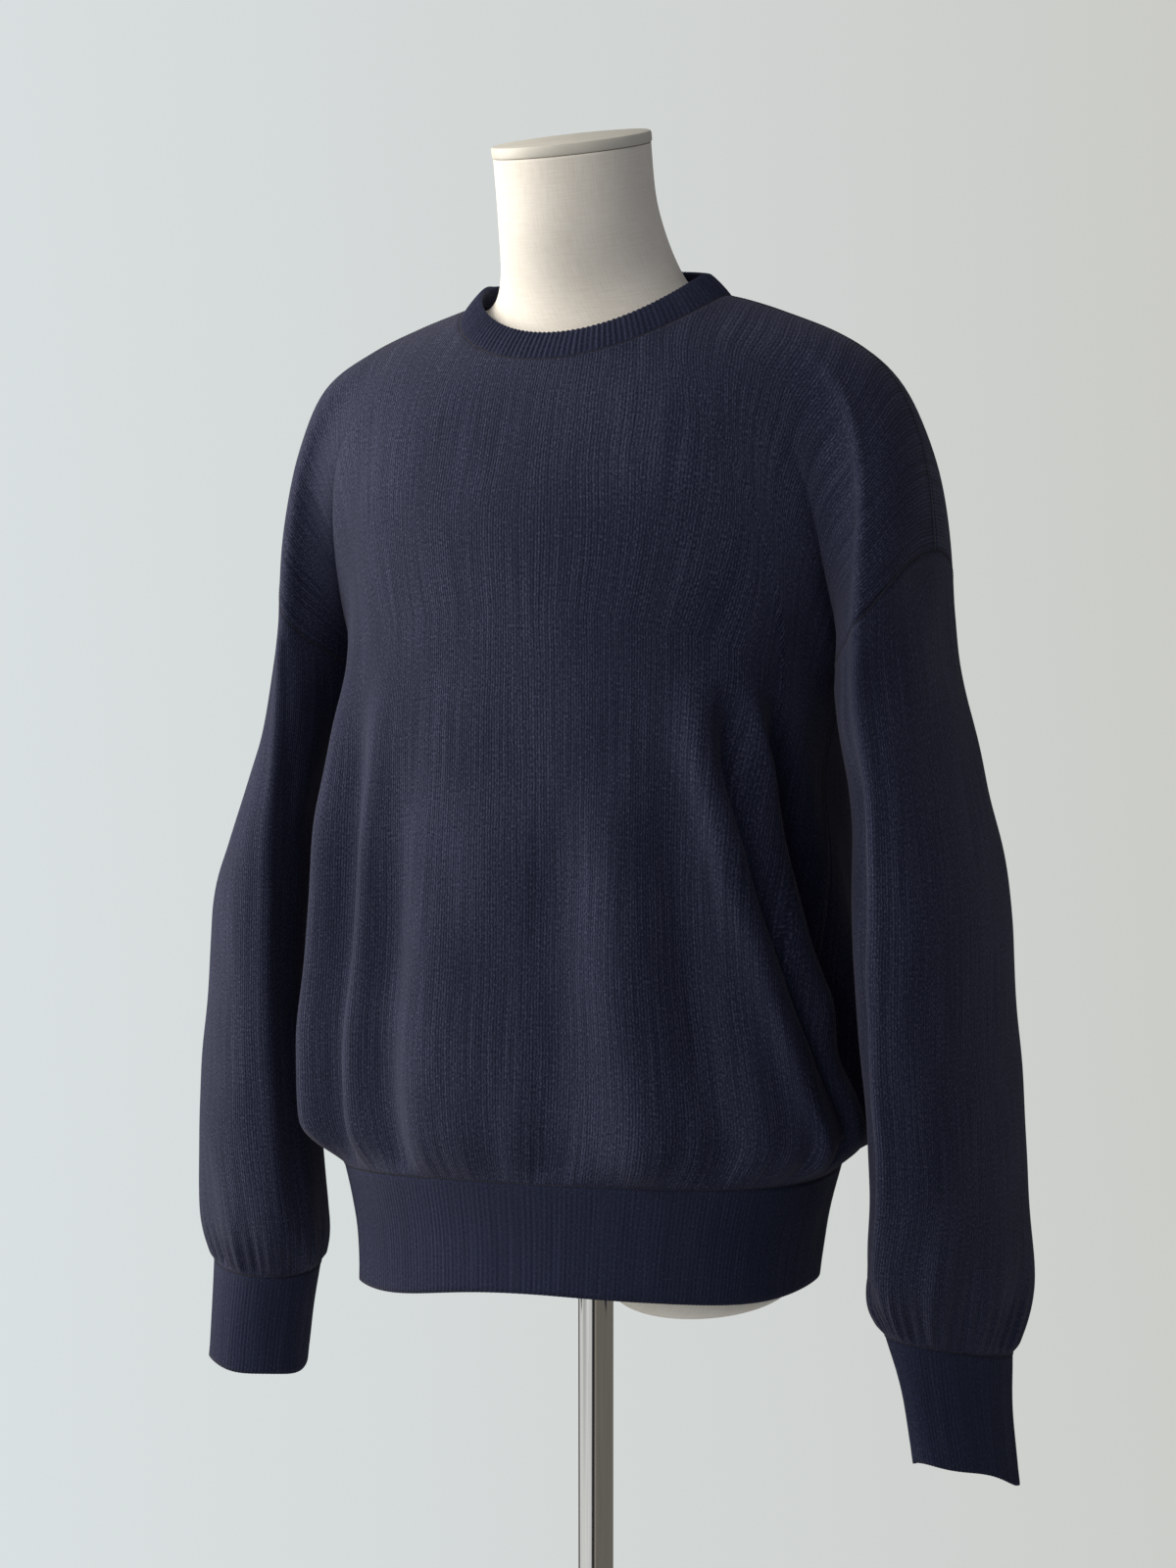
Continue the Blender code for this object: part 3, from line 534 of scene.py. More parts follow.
sleeve_tables = {side: sleeve_rows(side) for side in ("left", "right")}
print("sleeve tables:", sleeve_tables["left"].shape)

# %% Even out the surface across the yoke's last row
SMOOTH_ROWS = 12
SMOOTH_STEPS = 60


def evened(upper, lower, column):
    """Two tables that share a row, with the rows near it evened out, but not at the underarms."""
    strip = np.concatenate((upper, lower[1:]))
    join = len(upper) - 1
    near = np.clip(1 - np.abs(np.arange(len(strip)) - join) / SMOOTH_ROWS, 0, 1)
    weight = soft(near)[:, None, None] * soft(from_underarm(column) / 3)[None, :, None]
    for _ in range(SMOOTH_STEPS):
        mean = strip.copy()
        mean[1:-1] = (strip[:-2] + strip[2:]) / 2
        strip += (mean - strip) * weight * 0.5
    return strip[: join + 1], strip[join:]


ten, forty, sixty, ninety = (int(c * PER_COLUMN) for c in (10, 40, 60, 90))
for start, end, first in ((ten, forty, 0), (sixty, ninety, half_body)):
    at = slice(first, first + half_body)
    yoke[:, start:end], body[:, at] = evened(yoke[:, start:end], body[:, at], ring_columns[start:end])
for side, arm in ARM_COLUMNS.items():
    upper, lower = evened(yoke[:, arm], sleeve_tables[side], ring_columns[arm])
    yoke[:, arm[:-1]], sleeve_tables[side] = upper[:, :-1], lower

# %% Creases and gathers of the yoke
yoke_t = np.linspace(0, 1, YOKE_ROWS)[:, None]
column = ring_columns[None, :]
crease_left = 0.0045 * bump(column - 5.0, 0.55) * soft((yoke_t - 0.30) / 0.3)
crease_right = 0.0030 * bump(column - 44.6, 0.9) * soft((yoke_t - 0.35) / 0.3)
crease_back = 0.0030 * (bump(column - 94.6, 0.8) + bump(column - 55.2, 0.8)) * soft((yoke_t - 0.4) / 0.3)
shoulder_seam = 0.0006 * (bump(column, 0.16) + bump(column - 100, 0.16) + bump(column - 50, 0.16))
yoke_height = crease_left + crease_right + crease_back + 0.0011 * unevenness(yoke)
yoke_height *= soft(yoke_t / 0.08) * soft(from_underarm(ring_columns) / 2 + (1 - yoke_t) / 0.2)
yoke_height += shoulder_seam * soft((1 - yoke_t) / 0.03)

# %% Creases and gathers of the body
body_t = np.linspace(0, 1, BODY_ROWS)[:, None]
degrees = np.degrees(body_angle(body_columns))[None, :]
height_z = body[:, :, 2]
# The two crisp folds over the figure's left hip, as heights and angles that their crests run through
FOLD_HEIGHTS = (0.80, 0.853, 0.90, 0.955, 1.01, 1.10, 1.175)
FIRST_CREST = (74, 67, 62.5, 57, 49.5, 40, 37)
SECOND_CREST = (84, 81, 78, 73, 68, 60, 52)
first_line = np.interp(height_z, FOLD_HEIGHTS, FIRST_CREST)
second_line = np.interp(height_z, FOLD_HEIGHTS, SECOND_CREST)
first_in = soft((1.16 - height_z) / 0.08) * (1 - soft((body_t - 0.88) / 0.10))
second_in = soft((1.16 - height_z) / 0.08) * soft((height_z - 0.875) / 0.05)
fold_edge = 0.0075 * bump(degrees - first_line, 4.5) * first_in
fold_edge -= 0.0150 * bump(degrees - (first_line + second_line) / 2 - 0.5, 4.6) * first_in
second_fold = 0.0125 * bump(degrees - second_line, 4.2) - 0.0070 * bump(degrees - second_line - 9, 4.5)
second_fold *= second_in
gather_in = soft((body_t - 0.80) / 0.12) * soft((1 - body_t) / 0.06)
GATHERS = 118
WIDE_GATHERS = 31
wander = 0.9 * np.sin(np.radians(degrees) * 5 + 1.0) + 0.7 * np.sin(np.radians(degrees) * 11)
uneven_round = 0.65 + 0.35 * np.sin(np.radians(degrees) * 7 + 0.8) * np.sin(np.radians(degrees) * 3)
gathers = 0.0004 * np.sin(np.radians(degrees) * GATHERS + 3.2 * wander) * gather_in * uneven_round
wide_gathers = 0.0009 * np.sin(np.radians(degrees) * WIDE_GATHERS + wander)
wide_gathers = wide_gathers * soft((body_t - 0.6) / 0.3) * soft((1 - body_t) / 0.08)
body_height = fold_edge + second_fold + gathers + wide_gathers
# The long folds down the front stand out more in the thin cloth than in the solid, by this share of the rise
FRONT_FOLDS_MORE = 0.7
for top_z, bottom_z, top_angle, bottom_angle, half_width, rise in BODY_FOLDS[4:8]:
    along = (top_z - height_z) / (top_z - bottom_z)
    centre = top_angle + (bottom_angle - top_angle) * np.clip(along, 0, 1)
    more = FRONT_FOLDS_MORE * rise * soft(along * 2.5) * bump(degrees - centre, half_width)
    body_height += more * soft((1 - body_t) / 0.10)
body_height += 0.0013 * unevenness(body) * soft((1 - body_t) / 0.08)
body_height *= soft(body_t / 0.10)
yoke_edge = yoke_height[-1, np.concatenate((np.arange(ten, forty), np.arange(sixty, ninety)))]
body_height += yoke_edge * (1 - soft(body_t / 0.10))

# %% Lift both, and share the row between them
yoke_out = lifted(yoke, yoke_height)
body_out = lifted(body, body_height)
yoke_out[-1, ten:forty] = body_out[0, :half_body]
yoke_out[-1, sixty:ninety] = body_out[0, half_body:]
yoke_out[-1, forty] = yoke_out[-1, sixty] = body_out[0, half_body]
yoke_out[-1, ninety] = yoke_out[-1, ten] = body_out[0, 0]
print("yoke lifts up to", round(float(yoke_height.max()) * 1000, 1), "mm")

# %% [markdown]
# ## The flat cut
#
# A panel is cut flat: the neckline is a shallow curve, the drop shoulder slopes, the armhole edge is straight
# and the sides hang straight down. Every point gets its place there, by how far down its own column it lies.
# The wales of the knit are lines of one flat x, so they fan over the bust and shoulders as the real ones do.

# %% Places in the flat cut
NECK_HALF = 0.100
NECK_DROP = {"front": 0.085, "back": 0.022}
CHEST_HALF = 0.285
SHOULDER_DROP = 0.055


def flat_panel(which, yoke_part, body_part, columns):
    """The flat places of a panel's yoke and body tables."""
    turn = np.pi * (columns - columns[0]) / 50
    neck = np.stack((NECK_HALF * np.cos(turn), -NECK_DROP[which] * np.sin(turn)), axis=-1)
    edge = yoke_part[-1]
    round_edge = lengths_round(edge[None])[0]
    first, last = 10 * PER_COLUMN, 40 * PER_COLUMN
    depth = round_edge[first]
    far_depth = round_edge[-1] - round_edge[last]
    under = np.zeros((len(columns), 2))
    under[: first + 1, 0] = CHEST_HALF
    under[: first + 1, 1] = -SHOULDER_DROP - round_edge[: first + 1]
    under[last:, 0] = -CHEST_HALF
    under[last:, 1] = -SHOULDER_DROP - (round_edge[-1] - round_edge[last:])
    share = lengths_round(body_part[len(body_part) // 2][None])[0]
    share = share / share[-1]
    under[first : last + 1, 0] = CHEST_HALF * (1 - 2 * share)
    under[first : last + 1, 1] = -SHOULDER_DROP - depth - (far_depth - depth) * share
    down = lengths_down(yoke_part)
    down = (down / down[-1])[:, :, None]
    yoke_flat = neck[None] * (1 - down) + under[None] * down
    body_flat = np.repeat(under[None, first : last + 1], len(body_part), axis=0)
    body_flat[:, :, 1] -= lengths_down(body_part)
    return yoke_flat, body_flat


def around(table, first, last):
    """The columns of a closed table from one to another, round its end if need be."""
    return np.take(table, np.arange(first, last + 1), axis=1, mode="wrap")


panels = {}
for which, start, first in (("front", 0, 0), ("back", 50 * PER_COLUMN, half_body)):
    yoke_part = around(yoke_out, start, start + 50 * PER_COLUMN)
    body_part = around(body_out, first, first + half_body)
    columns = np.linspace(0, 50, 50 * PER_COLUMN + 1)
    yoke_flat, body_flat = flat_panel(which, yoke_part, body_part, columns)
    panels[which] = cloth_mesh(which, [(yoke_part, yoke_flat), (body_part, body_flat)])

# %% [markdown]
# ## The sleeves
#
# Each sleeve is a tube set into its armhole. A soft crease runs down its front edge, where it was folded flat
# in wear, and small gathers sit over the cuff seam.

# %% Sleeve tubes
CUFF_GATHERS = 36
CREASE_RISE = {"left": 0.0060, "right": 0.0035}
FALL_BACK = {"left": 0.0100, "right": 0.0040}


def sleeve_table(side):
    """Points and flat places of a sleeve, with its creases and gathers."""
    table = sleeve_tables[side]
    t = np.linspace(0, 1, SLEEVE_ROWS)[:, None]
    turn = np.degrees(ring_turn)[None, :]
    ends = soft(t / 0.05) * soft((1 - t) / 0.05)
    height = CREASE_RISE[side] * bump(turn - 90, 9.0) * soft(t / 0.06) * (1 - soft((t - 0.74) / 0.2))
    height += 0.0020 * bump(turn - 262, 16.0) * (1 - soft((t - 0.7) / 0.2))
    # Inside the crease the cloth falls back towards the body
    fall = FALL_BACK[side] * bump(turn - 114, 19.0) * soft((t - 0.10) / 0.15)
    height -= fall * (1 - soft((t - 0.78) / 0.15))
    near_cuff = soft((t - 0.80) / 0.12)
    sway = 1.5 * np.sin(np.radians(turn) * 4)
    height += 0.0011 * np.sin(np.radians(turn) * CUFF_GATHERS + sway) * near_cuff
    height += 0.0016 * np.sin(np.radians(turn) * 9 + 2.0) * soft((t - 0.62) / 0.3)
    height += 0.0016 * unevenness(table)
    height *= ends
    height += yoke_height[-1, ARM_COLUMNS[side]] * (1 - soft(t / 0.06))
    seam_row = yoke_out[-1, ARM_COLUMNS[side]]
    if side == "right":
        table, height, seam_row = table[:, ::-1], height[:, ::-1], seam_row[::-1]
    height[:, 0] = height[:, -1]
    out = lifted(table, height, closed=True)
    out[0] = seam_row
    middle = lengths_round(out)[SLEEVE_ROWS // 3]
    flat_x = middle - middle[-1] / 2
    return out, flat_grid(flat_x, -lengths_down(out).mean(axis=1))


sleeve_out = {side: sleeve_table(side) for side in ("left", "right")}
sleeves = {side: cloth_mesh(f"sleeve_{side}", [sleeve_out[side]]) for side in ("left", "right")}
print("sleeves:", {side: len(mesh.polygons) for side, mesh in sleeves.items()})

# %% [markdown]
# ## Ribbed bands
#
# The hem band and cuffs are a fine rib, knitted deep and pulled in a little. Their ribs are modelled, because
# their edges show them. The neckband's ribs are coarser: it is knitted double, folded over at its top edge,
# and closed by the neckline seam.

# %% Hem band and cuffs
BAND_ROWS = 14
RIB_STEPS = 4
HEM_RIBS = 330
CUFF_RIBS = 88
RIB_DEPTH = 0.00045


def rib(turns, ribs):
    """The ribs' height at each column, from 0 on a rib to -1 between ribs."""
    return -0.5 + 0.5 * np.cos(2 * math.pi * turns * ribs)


def band_table(rows, ribs, ripple, waves, flip):
    """Points and flat places of a ribbed band, whose lower edge ripples with some waves to the turn."""
    turns = np.linspace(0, 1, ribs * RIB_STEPS + 1)
    t = np.linspace(0, 1, BAND_ROWS)
    table = np.array([rows(share, turns) for share in t])
    wave = np.sin(2 * math.pi * turns * waves + 0.6) + 0.5 * np.sin(2 * math.pi * turns * (waves + 2) + 2.0)
    table[:, :, 2] += (ripple * wave)[None, :] * soft((t - 0.3) / 0.7)[:, None]
    if flip:
        table = table[:, ::-1]
    height = RIB_DEPTH * rib(turns, ribs)[None, :] * soft(t / 0.1)[:, None]
    height = height + 0.0009 * (unevenness(table) * soft(t / 0.3)[:, None])
    height = height + 0.0004 * bump(t - 0.97, 0.05)[:, None]
    height[:, -1] = height[:, 0]
    out = lifted(table, height, closed=True)
    flat_x = lengths_round(table)[BAND_ROWS // 2]
    return out, flat_grid(flat_x - flat_x[-1] / 2, -lengths_down(table).mean(axis=1))


def hem_rows(share, turns):
    """Points of the hem band, from the left side seam by the front."""
    return body_points(between(HEM_BAND, share), math.pi / 2 - 2 * math.pi * turns, 0.0)


hem_mesh = cloth_mesh("hem_band", [band_table(hem_rows, HEM_RIBS, 0.0016, 5, False)])
cuffs = {}
for side in ("left", "right"):
    def cuff_rows(share, turns, side=side):
        """Points of this side's cuff."""
        return sleeve_points(between(CUFF[side], share), 2 * math.pi * turns, side)

    table = band_table(cuff_rows, CUFF_RIBS, 0.0024, 2, side == "right")
    cuffs[side] = cloth_mesh(f"cuff_{side}", [table])
print("hem band and cuffs:", len(hem_mesh.polygons), len(cuffs["left"].polygons))

# %% The neckband, a closed roll
NECK_RIBS = 150
NECK_STEPS = 6
NECK_WALL = 0.0032
NECK_RIB_DEPTH = 0.0009


def neckband_table():
    """Points and flat places of the neckband, out over its top edge and down inside."""
    turns = np.linspace(0, 1, NECK_RIBS * NECK_STEPS + 1)
    shares = np.linspace(0, 1, 9)
    outer = np.array([ring_points(between((YOKE[0], NECK_TOP), s), 2 * math.pi * turns) for s in shares])
    normal = -table_normals(outer, closed=True)
    up = np.gradient(outer, axis=0)[-1]
    up /= np.linalg.norm(up, axis=1)[:, None]
    half = NECK_WALL / 2
    belly = 0.0007 * np.sin(math.pi * shares)
    ribs = NECK_RIB_DEPTH * rib(turns, NECK_RIBS)
    rows = []
    for k, share in enumerate(shares):
        rows.append(outer[k] + normal[k] * (belly[k] + ribs * soft(share / 0.12))[:, None])
    core = outer[-1] - normal[-1] * half
    for turn in (0.25, 0.5, 0.75):
        swing = math.pi * turn
        reach = half + ribs * math.cos(swing / 2) ** 2
        out = normal[-1] * (reach * math.cos(swing))[:, None]
        rows.append(core + out + up * (reach * math.sin(swing))[:, None])
    for k in range(len(shares) - 1, -1, -2):
        rows.append(outer[k] - normal[k] * NECK_WALL)
    rows.append(rows[0])
    table = np.array(rows)[::-1]
    return table, flat_grid(lengths_round(outer)[4], -lengths_down(table).mean(axis=1))


neck_mesh = cloth_mesh("neckband", [neckband_table()])
print("neckband:", len(neck_mesh.polygons), "faces")

# %% [markdown]
# ## Seams
#
# The pieces of the real sweater are linked stitch by stitch. From outside a seam shows as a fine row of
# slanting stitches, one to a wale. Each seam here is one mesh of such stitches, laid along the edge that two
# pieces share. Its pitch is a little coarser than a wale, so that the stitches show.

# %% One mesh of stitches along a path
STITCH_PITCH = 0.0021
STITCH_SIZE = (0.00115, 0.00042, 0.00036)
STITCH_SLANT = 0.45
STITCH_LIFT = 0.0001


def stitches(name, paths):
    """A mesh of small slanting stitches along paths, each given as points and outward directions."""
    bm = bmesh.new()
    made = bmesh.ops.create_uvsphere(bm, u_segments=6, v_segments=4, radius=1.0)["verts"]
    shape = np.array([vertex.co[:] for vertex in made]) * STITCH_SIZE
    faces = [[made.index(vertex) for vertex in face.verts] for face in bm.faces]
    bm.free()
    places, sides = [], []
    for points, outward in paths:
        lengths = lengths_round(points[None])[0]
        count = max(int(lengths[-1] / STITCH_PITCH), 2)
        at = (np.arange(count) + 0.5) / count * lengths[-1]
        here = np.stack([np.interp(at, lengths, points[:, k]) for k in range(3)], axis=-1)
        up = np.stack([np.interp(at, lengths, outward[:, k]) for k in range(3)], axis=-1)
        along = np.gradient(here, axis=0)
        along /= np.linalg.norm(along, axis=1)[:, None]
        across = np.cross(up, along)
        across /= np.linalg.norm(across, axis=1)[:, None]
        up = np.cross(along, across)
        long = along * math.cos(STITCH_SLANT) + across * math.sin(STITCH_SLANT)
        wide = np.cross(up, long)
        turned = shape[None, :, :1] * long[:, None] + shape[None, :, 1:2] * wide[:, None]
        turned += shape[None, :, 2:] * up[:, None]
        start = sum(len(block) for block in places)
        places.append((turned + (here + up * STITCH_LIFT)[:, None]).reshape(-1, 3))
        for k in range(count):
            sides += [[start + k * len(shape) + v for v in face] for face in faces]
    mesh = bpy.data.meshes.new(name)
    mesh.from_pydata(np.concatenate(places), [], sides)
    mesh.shade_smooth()
    return mesh


# %% Where the seams run
yoke_up, body_up = table_normals(yoke_out), table_normals(body_out)


def loop(points, outward):
    """A closed path: its points and outward directions with the first one again at the end."""
    return np.concatenate((points, points[:1])), np.concatenate((outward, outward[:1]))


seam_paths = {
    "neckline_seam": [loop(yoke_out[0], yoke_up[0])],
    "hem_seam": [loop(body_out[-1], body_up[-2])],
    "shoulder_seams": [(yoke_out[:, k], yoke_up[:, k]) for k in (1, 50 * PER_COLUMN)],
    "side_seams": [(body_out[:, k], body_up[:, k]) for k in (1, half_body)],
}
for side in ("left", "right"):
    out = sleeve_out[side][0]
    up = table_normals(out, closed=True)
    seam_paths[f"armhole_{side}_seam"] = [(out[0], up[1])]
    seam_paths[f"cuff_{side}_seam"] = [(out[-1], up[-2])]
seams = {name: stitches(name, paths) for name, paths in seam_paths.items()}
print("stitches' faces:", {name: len(mesh.polygons) for name, mesh in seams.items()})

# %% [markdown]
# ## The dress form and its stand
#
# The real form is a hollow shell covered in cream linen, cut off at the hips over two short thigh stubs. A
# flat cap closes the tilted neck. It stands on a chrome pole in a socket on a round steel plate. The
# photograph shows only the neck, the lower edge and the pole, so the plate is a plain one.

# %% Torso and thigh stubs
FORM_TURN = np.linspace(0, 2 * math.pi, 161)


def closed_form(name, table):
    """A closed solid from a table of rings, with flat ends."""
    flat = np.stack((lengths_round(table), -lengths_down(table)), axis=-1)
    mesh = cloth_mesh(name, [(table, flat)])
    bm = bmesh.new()
    bm.from_mesh(mesh)
    bmesh.ops.holes_fill(bm, edges=[edge for edge in bm.edges if edge.is_boundary])
    bmesh.ops.recalc_face_normals(bm, faces=bm.faces)
    for face in bm.faces:
        face.smooth = len(face.verts) == 4
    bm.to_mesh(mesh)
    bm.free()
    return mesh


torso_table = np.array([ring_points(between(FORM, t), FORM_TURN) for t in np.linspace(0, 1, 220)])
torso_mesh = closed_form("form_torso", torso_table)
thighs = {}
for side, mirror in (("left", 1), ("right", -1)):
    rings = []
    for t in np.linspace(0, 1, 24):
        z, half_width, half_depth = between(THIGH, t)
        x = mirror * THIGH_X + half_width * np.cos(FORM_TURN)
        rings.append(np.stack((x, half_depth * np.sin(-FORM_TURN), np.full_like(x, z)), axis=-1))
    thighs[side] = closed_form(f"form_thigh_{side}", np.array(rings))
print("torso and thigh stubs:", len(torso_mesh.polygons), len(thighs["left"].polygons))

# %% Neck cap, pole, socket and plate
def turned_mesh(name, profile, steps=96):
    """A turned piece from its profile of radius and height, from its axis or inner edge round to it."""
    bm = bmesh.new()
    points = [bm.verts.new((radius, 0.0, z)) for radius, z in profile]
    edges = [bm.edges.new(pair) for pair in zip(points, points[1:])]
    if profile[0][0] > 0:
        edges.append(bm.edges.new((points[-1], points[0])))
    bmesh.ops.spin(
        bm,
        geom=points + edges,
        axis=(0, 0, 1),
        cent=(0, 0, 0),
        steps=steps,
        angle=2 * math.pi,
        use_merge=True,
    )
    bmesh.ops.remove_doubles(bm, verts=bm.verts, dist=1e-6)
    bmesh.ops.recalc_face_normals(bm, faces=bm.faces)
    for face in bm.faces:
        face.smooth = True
    mesh = bpy.data.meshes.new(name)
    bm.to_mesh(mesh)
    bm.free()
    mesh.set_sharp_from_angle(angle=math.radians(40))
    return mesh


cap_mesh = turned_mesh(
    "form_neck_cap",
    (
        *((0, 0), (0.0545, 0), (0.0556, 0.0004), (0.0560, 0.0015)),
        *((0.0560, 0.0062), (0.0555, 0.0074), (0.0543, 0.008), (0, 0.008)),
    ),
)
top = FORM[0]
lean = math.atan2(top[7] - top[5], top[6] - top[4])
CAP_GAP = 0.0003
cap_place = Matrix.Translation(
    (0, (top[4] + top[6]) / 2 - CAP_GAP * math.sin(lean), (top[5] + top[7]) / 2 + CAP_GAP * math.cos(lean))
)
cap_mesh.transform(cap_place @ Matrix.Rotation(lean, 4, "X"))
pole_mesh = turned_mesh(
    "pole", ((0, 0.0103), (0.0130, 0.0103), (0.0130, 0.30), (0.0130, 0.60), (0.0130, 0.7497), (0, 0.7497))
)
plate_mesh = turned_mesh(
    "base_plate",
    (
        *((0, 0), (0.1570, 0), (0.1591, 0.0009), (0.16, 0.003)),
        *((0.16, 0.007), (0.1591, 0.0091), (0.1570, 0.01), (0, 0.01)),
    ),
)
socket_mesh = turned_mesh(
    "base_socket",
    (
        *((0.0133, 0.0103), (0.024, 0.0103), (0.024, 0.0523)),
        *((0.0231, 0.0544), (0.0210, 0.0553), (0.0133, 0.0553)),
    ),
)
print("cap leans", round(math.degrees(lean), 1), "degrees")

# %% [markdown]
# ## Finishes
#
# Each finish starts from what the real material is. Its pattern's scale comes from a real size, and one too
# fine for the picture is drawn a little coarser. Colours are given as sRGB hex and turned linear once.

# %% Helpers for materials
def linear(hex_colour):
    """An sRGB hex colour as linear red, green, blue and alpha."""
    parts = [int(hex_colour[i : i + 2], 16) / 255 for i in (1, 3, 5)]
    return (*(p / 12.92 if p <= 0.04045 else ((p + 0.055) / 1.055) ** 2.4 for p in parts), 1.0)


# The kinds of node that are used often
MATH, VECTOR, MAPPING = "ShaderNodeMath", "ShaderNodeVectorMath", "ShaderNodeMapping"
NOISE, RAMP, BUMP = "ShaderNodeTexNoise", "ShaderNodeValToRGB", "ShaderNodeBump"
PLACES, BACKDROP, MIX = "ShaderNodeTexCoord", "ShaderNodeBackground", "ShaderNodeMixShader"


def add_node(tree, kind, settings=None, links=None):
    """Add a node with its settings, sockets by number or with a capital, and its incoming links.

    The setting "stops" gives a ramp its places from 0 to 1, each with a hex colour.
    """
    made = tree.nodes.new(kind)
    for name, value in (settings or {}).items():
        if name == "stops":
            for k, (place, colour) in enumerate(value):
                element = made.color_ramp.elements[k] if k < 2 else made.color_ramp.elements.new(place)
                element.position, element.color = place, linear(colour)
        elif isinstance(name, int) or name[0].isupper():
            made.inputs[name].default_value = value
        else:
            setattr(made, name, value)
    for name, source in (links or {}).items():
        tree.links.new(source, made.inputs[name])
    return made


def new_material(name, **settings):
    """A material with a Principled shader and its constant settings; returns it, its tree and the shader."""
    made = bpy.data.materials.new(name)
    made.use_nodes = True
    shader = made.node_tree.nodes["Principled BSDF"]
    for socket, value in settings.items():
        shader.inputs[socket.replace("_", " ")].default_value = value
    return made, made.node_tree, shader


# %% [markdown]
# ### Heathered wool, knitted in stockinette
#
# The yarn is fine lambswool, dyed in the fleece, so dark navy, indigo and a few pale fibres lie side by side.
# That gives the eye a cool dark cloth with light flecks drawn out along the wales, and a dusty sheen at
# grazing angles where the fibres stand up. Real wales are about 1.5 mm and courses 1.2 mm; they are drawn at
# 1.9 mm and 1.5 mm to show in the picture.

# %% Stockinette
WALE = 0.0019
COURSE = 0.0015


def wool_knit(name, base_stops, bump_strength, with_wales):
    """Wool cloth whose wales and courses follow the flat cut."""
    made, tree, shader = new_material(
        name, Roughness=0.93, Sheen_Weight=0.15, Sheen_Roughness=0.42, Sheen_Tint=linear("#c6c4d0")
    )
    shader.inputs["Specular IOR Level"].default_value = 0.12
    flat = add_node(tree, "ShaderNodeUVMap", {"uv_map": "flat"}).outputs["UV"]
    place = add_node(tree, PLACES).outputs["Object"]
    # No row of stitches is quite straight: the flat place wanders by a quarter of a millimetre
    wander = add_node(tree, NOISE, {"Scale": 55.0, "Detail": 1.0}, {"Vector": place}).outputs["Color"]
    centred = add_node(tree, VECTOR, {"operation": "SUBTRACT", 1: (0.5, 0.5, 0.5)}, {0: wander})
    small = add_node(tree, VECTOR, {"operation": "SCALE", "Scale": 0.0008}, {0: centred.outputs[0]})
    flat_here = add_node(tree, VECTOR, {"operation": "ADD"}, {0: flat, 1: small.outputs[0]}).outputs[0]
    parts = add_node(tree, "ShaderNodeSeparateXYZ", links={0: flat_here})
    wale = add_node(tree, MATH, {"operation": "MULTIPLY", 1: 1 / WALE}, {0: parts.outputs["X"]}).outputs[0]
    part_way = add_node(tree, MATH, {"operation": "FRACT"}, {0: wale}).outputs[0]
    off = add_node(tree, MATH, {"operation": "SUBTRACT", 1: 0.5}, {0: part_way}).outputs[0]
    side = add_node(tree, MATH, {"operation": "ABSOLUTE"}, {0: off}).outputs[0]
    turn = add_node(tree, MATH, {"operation": "MULTIPLY", 1: math.pi}, {0: side}).outputs[0]
    hump = add_node(tree, MATH, {"operation": "COSINE"}, {0: turn}).outputs[0]
    slant = add_node(tree, MATH, {"operation": "MULTIPLY", 1: 1.1}, {0: side}).outputs[0]
    course = add_node(
        tree, MATH, {"operation": "MULTIPLY_ADD", 1: 1 / COURSE}, {0: parts.outputs["Y"], 2: slant}
    ).outputs[0]
    course_turn = add_node(tree, MATH, {"operation": "MULTIPLY", 1: 2 * math.pi}, {0: course}).outputs[0]
    legs = add_node(tree, MATH, {"operation": "SINE"}, {0: course_turn}).outputs[0]
    leg = add_node(tree, MATH, {"operation": "MULTIPLY_ADD", 1: 0.13, 2: 0.87}, {0: legs}).outputs[0]
    if with_wales:
        stitch = add_node(tree, MATH, {"operation": "MULTIPLY"}, {0: hump, 1: leg}).outputs[0]
    else:
        stitch = leg
    # Fibres: pale and dark ones, drawn out along the wales
    stretched = add_node(tree, MAPPING, {"Scale": (1150.0, 480.0, 1.0)}, {"Vector": flat_here}).outputs[0]
    fleck = add_node(
        tree, NOISE, {"Scale": 1.0, "Detail": 3.0, "Roughness": 0.62}, {"Vector": stretched}
    ).outputs["Fac"]
    streak_place = add_node(tree, MAPPING, {"Scale": (480.0, 10.0, 1.0)}, {"Vector": flat_here}).outputs[0]
    streak = add_node(
        tree, NOISE, {"Scale": 1.0, "Detail": 2.0, "Roughness": 0.5}, {"Vector": streak_place}
    ).outputs["Fac"]
    wear = add_node(tree, NOISE, {"Scale": 9.0, "Detail": 3.0}, {"Vector": place}).outputs["Fac"]
    mixed = add_node(tree, MATH, {"operation": "MULTIPLY_ADD", 1: 0.30}, {0: streak, 2: fleck}).outputs[0]
    tone = add_node(tree, MATH, {"operation": "MULTIPLY_ADD", 1: 0.16}, {0: wear, 2: mixed}).outputs[0]
    # The stitches' relief also darkens the colour in the hollows between the stitches: painted shade, added
    # to the random tone
    tone_and_stitch_shade = add_node(tree, MATH, {"operation": "MULTIPLY_ADD", 1: 0.10}, {0: stitch, 2: tone}).outputs[0]
    cloth_colour = add_node(tree, RAMP, {"stops": base_stops}, {"Fac": tone_and_stitch_shade}).outputs["Color"]
    tree.links.new(cloth_colour, shader.inputs["Base Color"])
    fuzz = add_node(tree, MATH, {"operation": "MULTIPLY_ADD", 1: 0.55}, {0: fleck, 2: stitch}).outputs[0]
    bumped = add_node(tree, BUMP, {"Strength": bump_strength, "Distance": 0.0006}, {"Height": fuzz})
    tree.links.new(bumped.outputs["Normal"], shader.inputs["Normal"])
    return made


HEATHER = ((0.40, "#101322"), (0.60, "#191d2f"), (0.78, "#23273c"), (0.96, "#44485e"))
navy_stockinette = wool_knit("lambswool stockinette, heathered navy", HEATHER, 0.60, True)
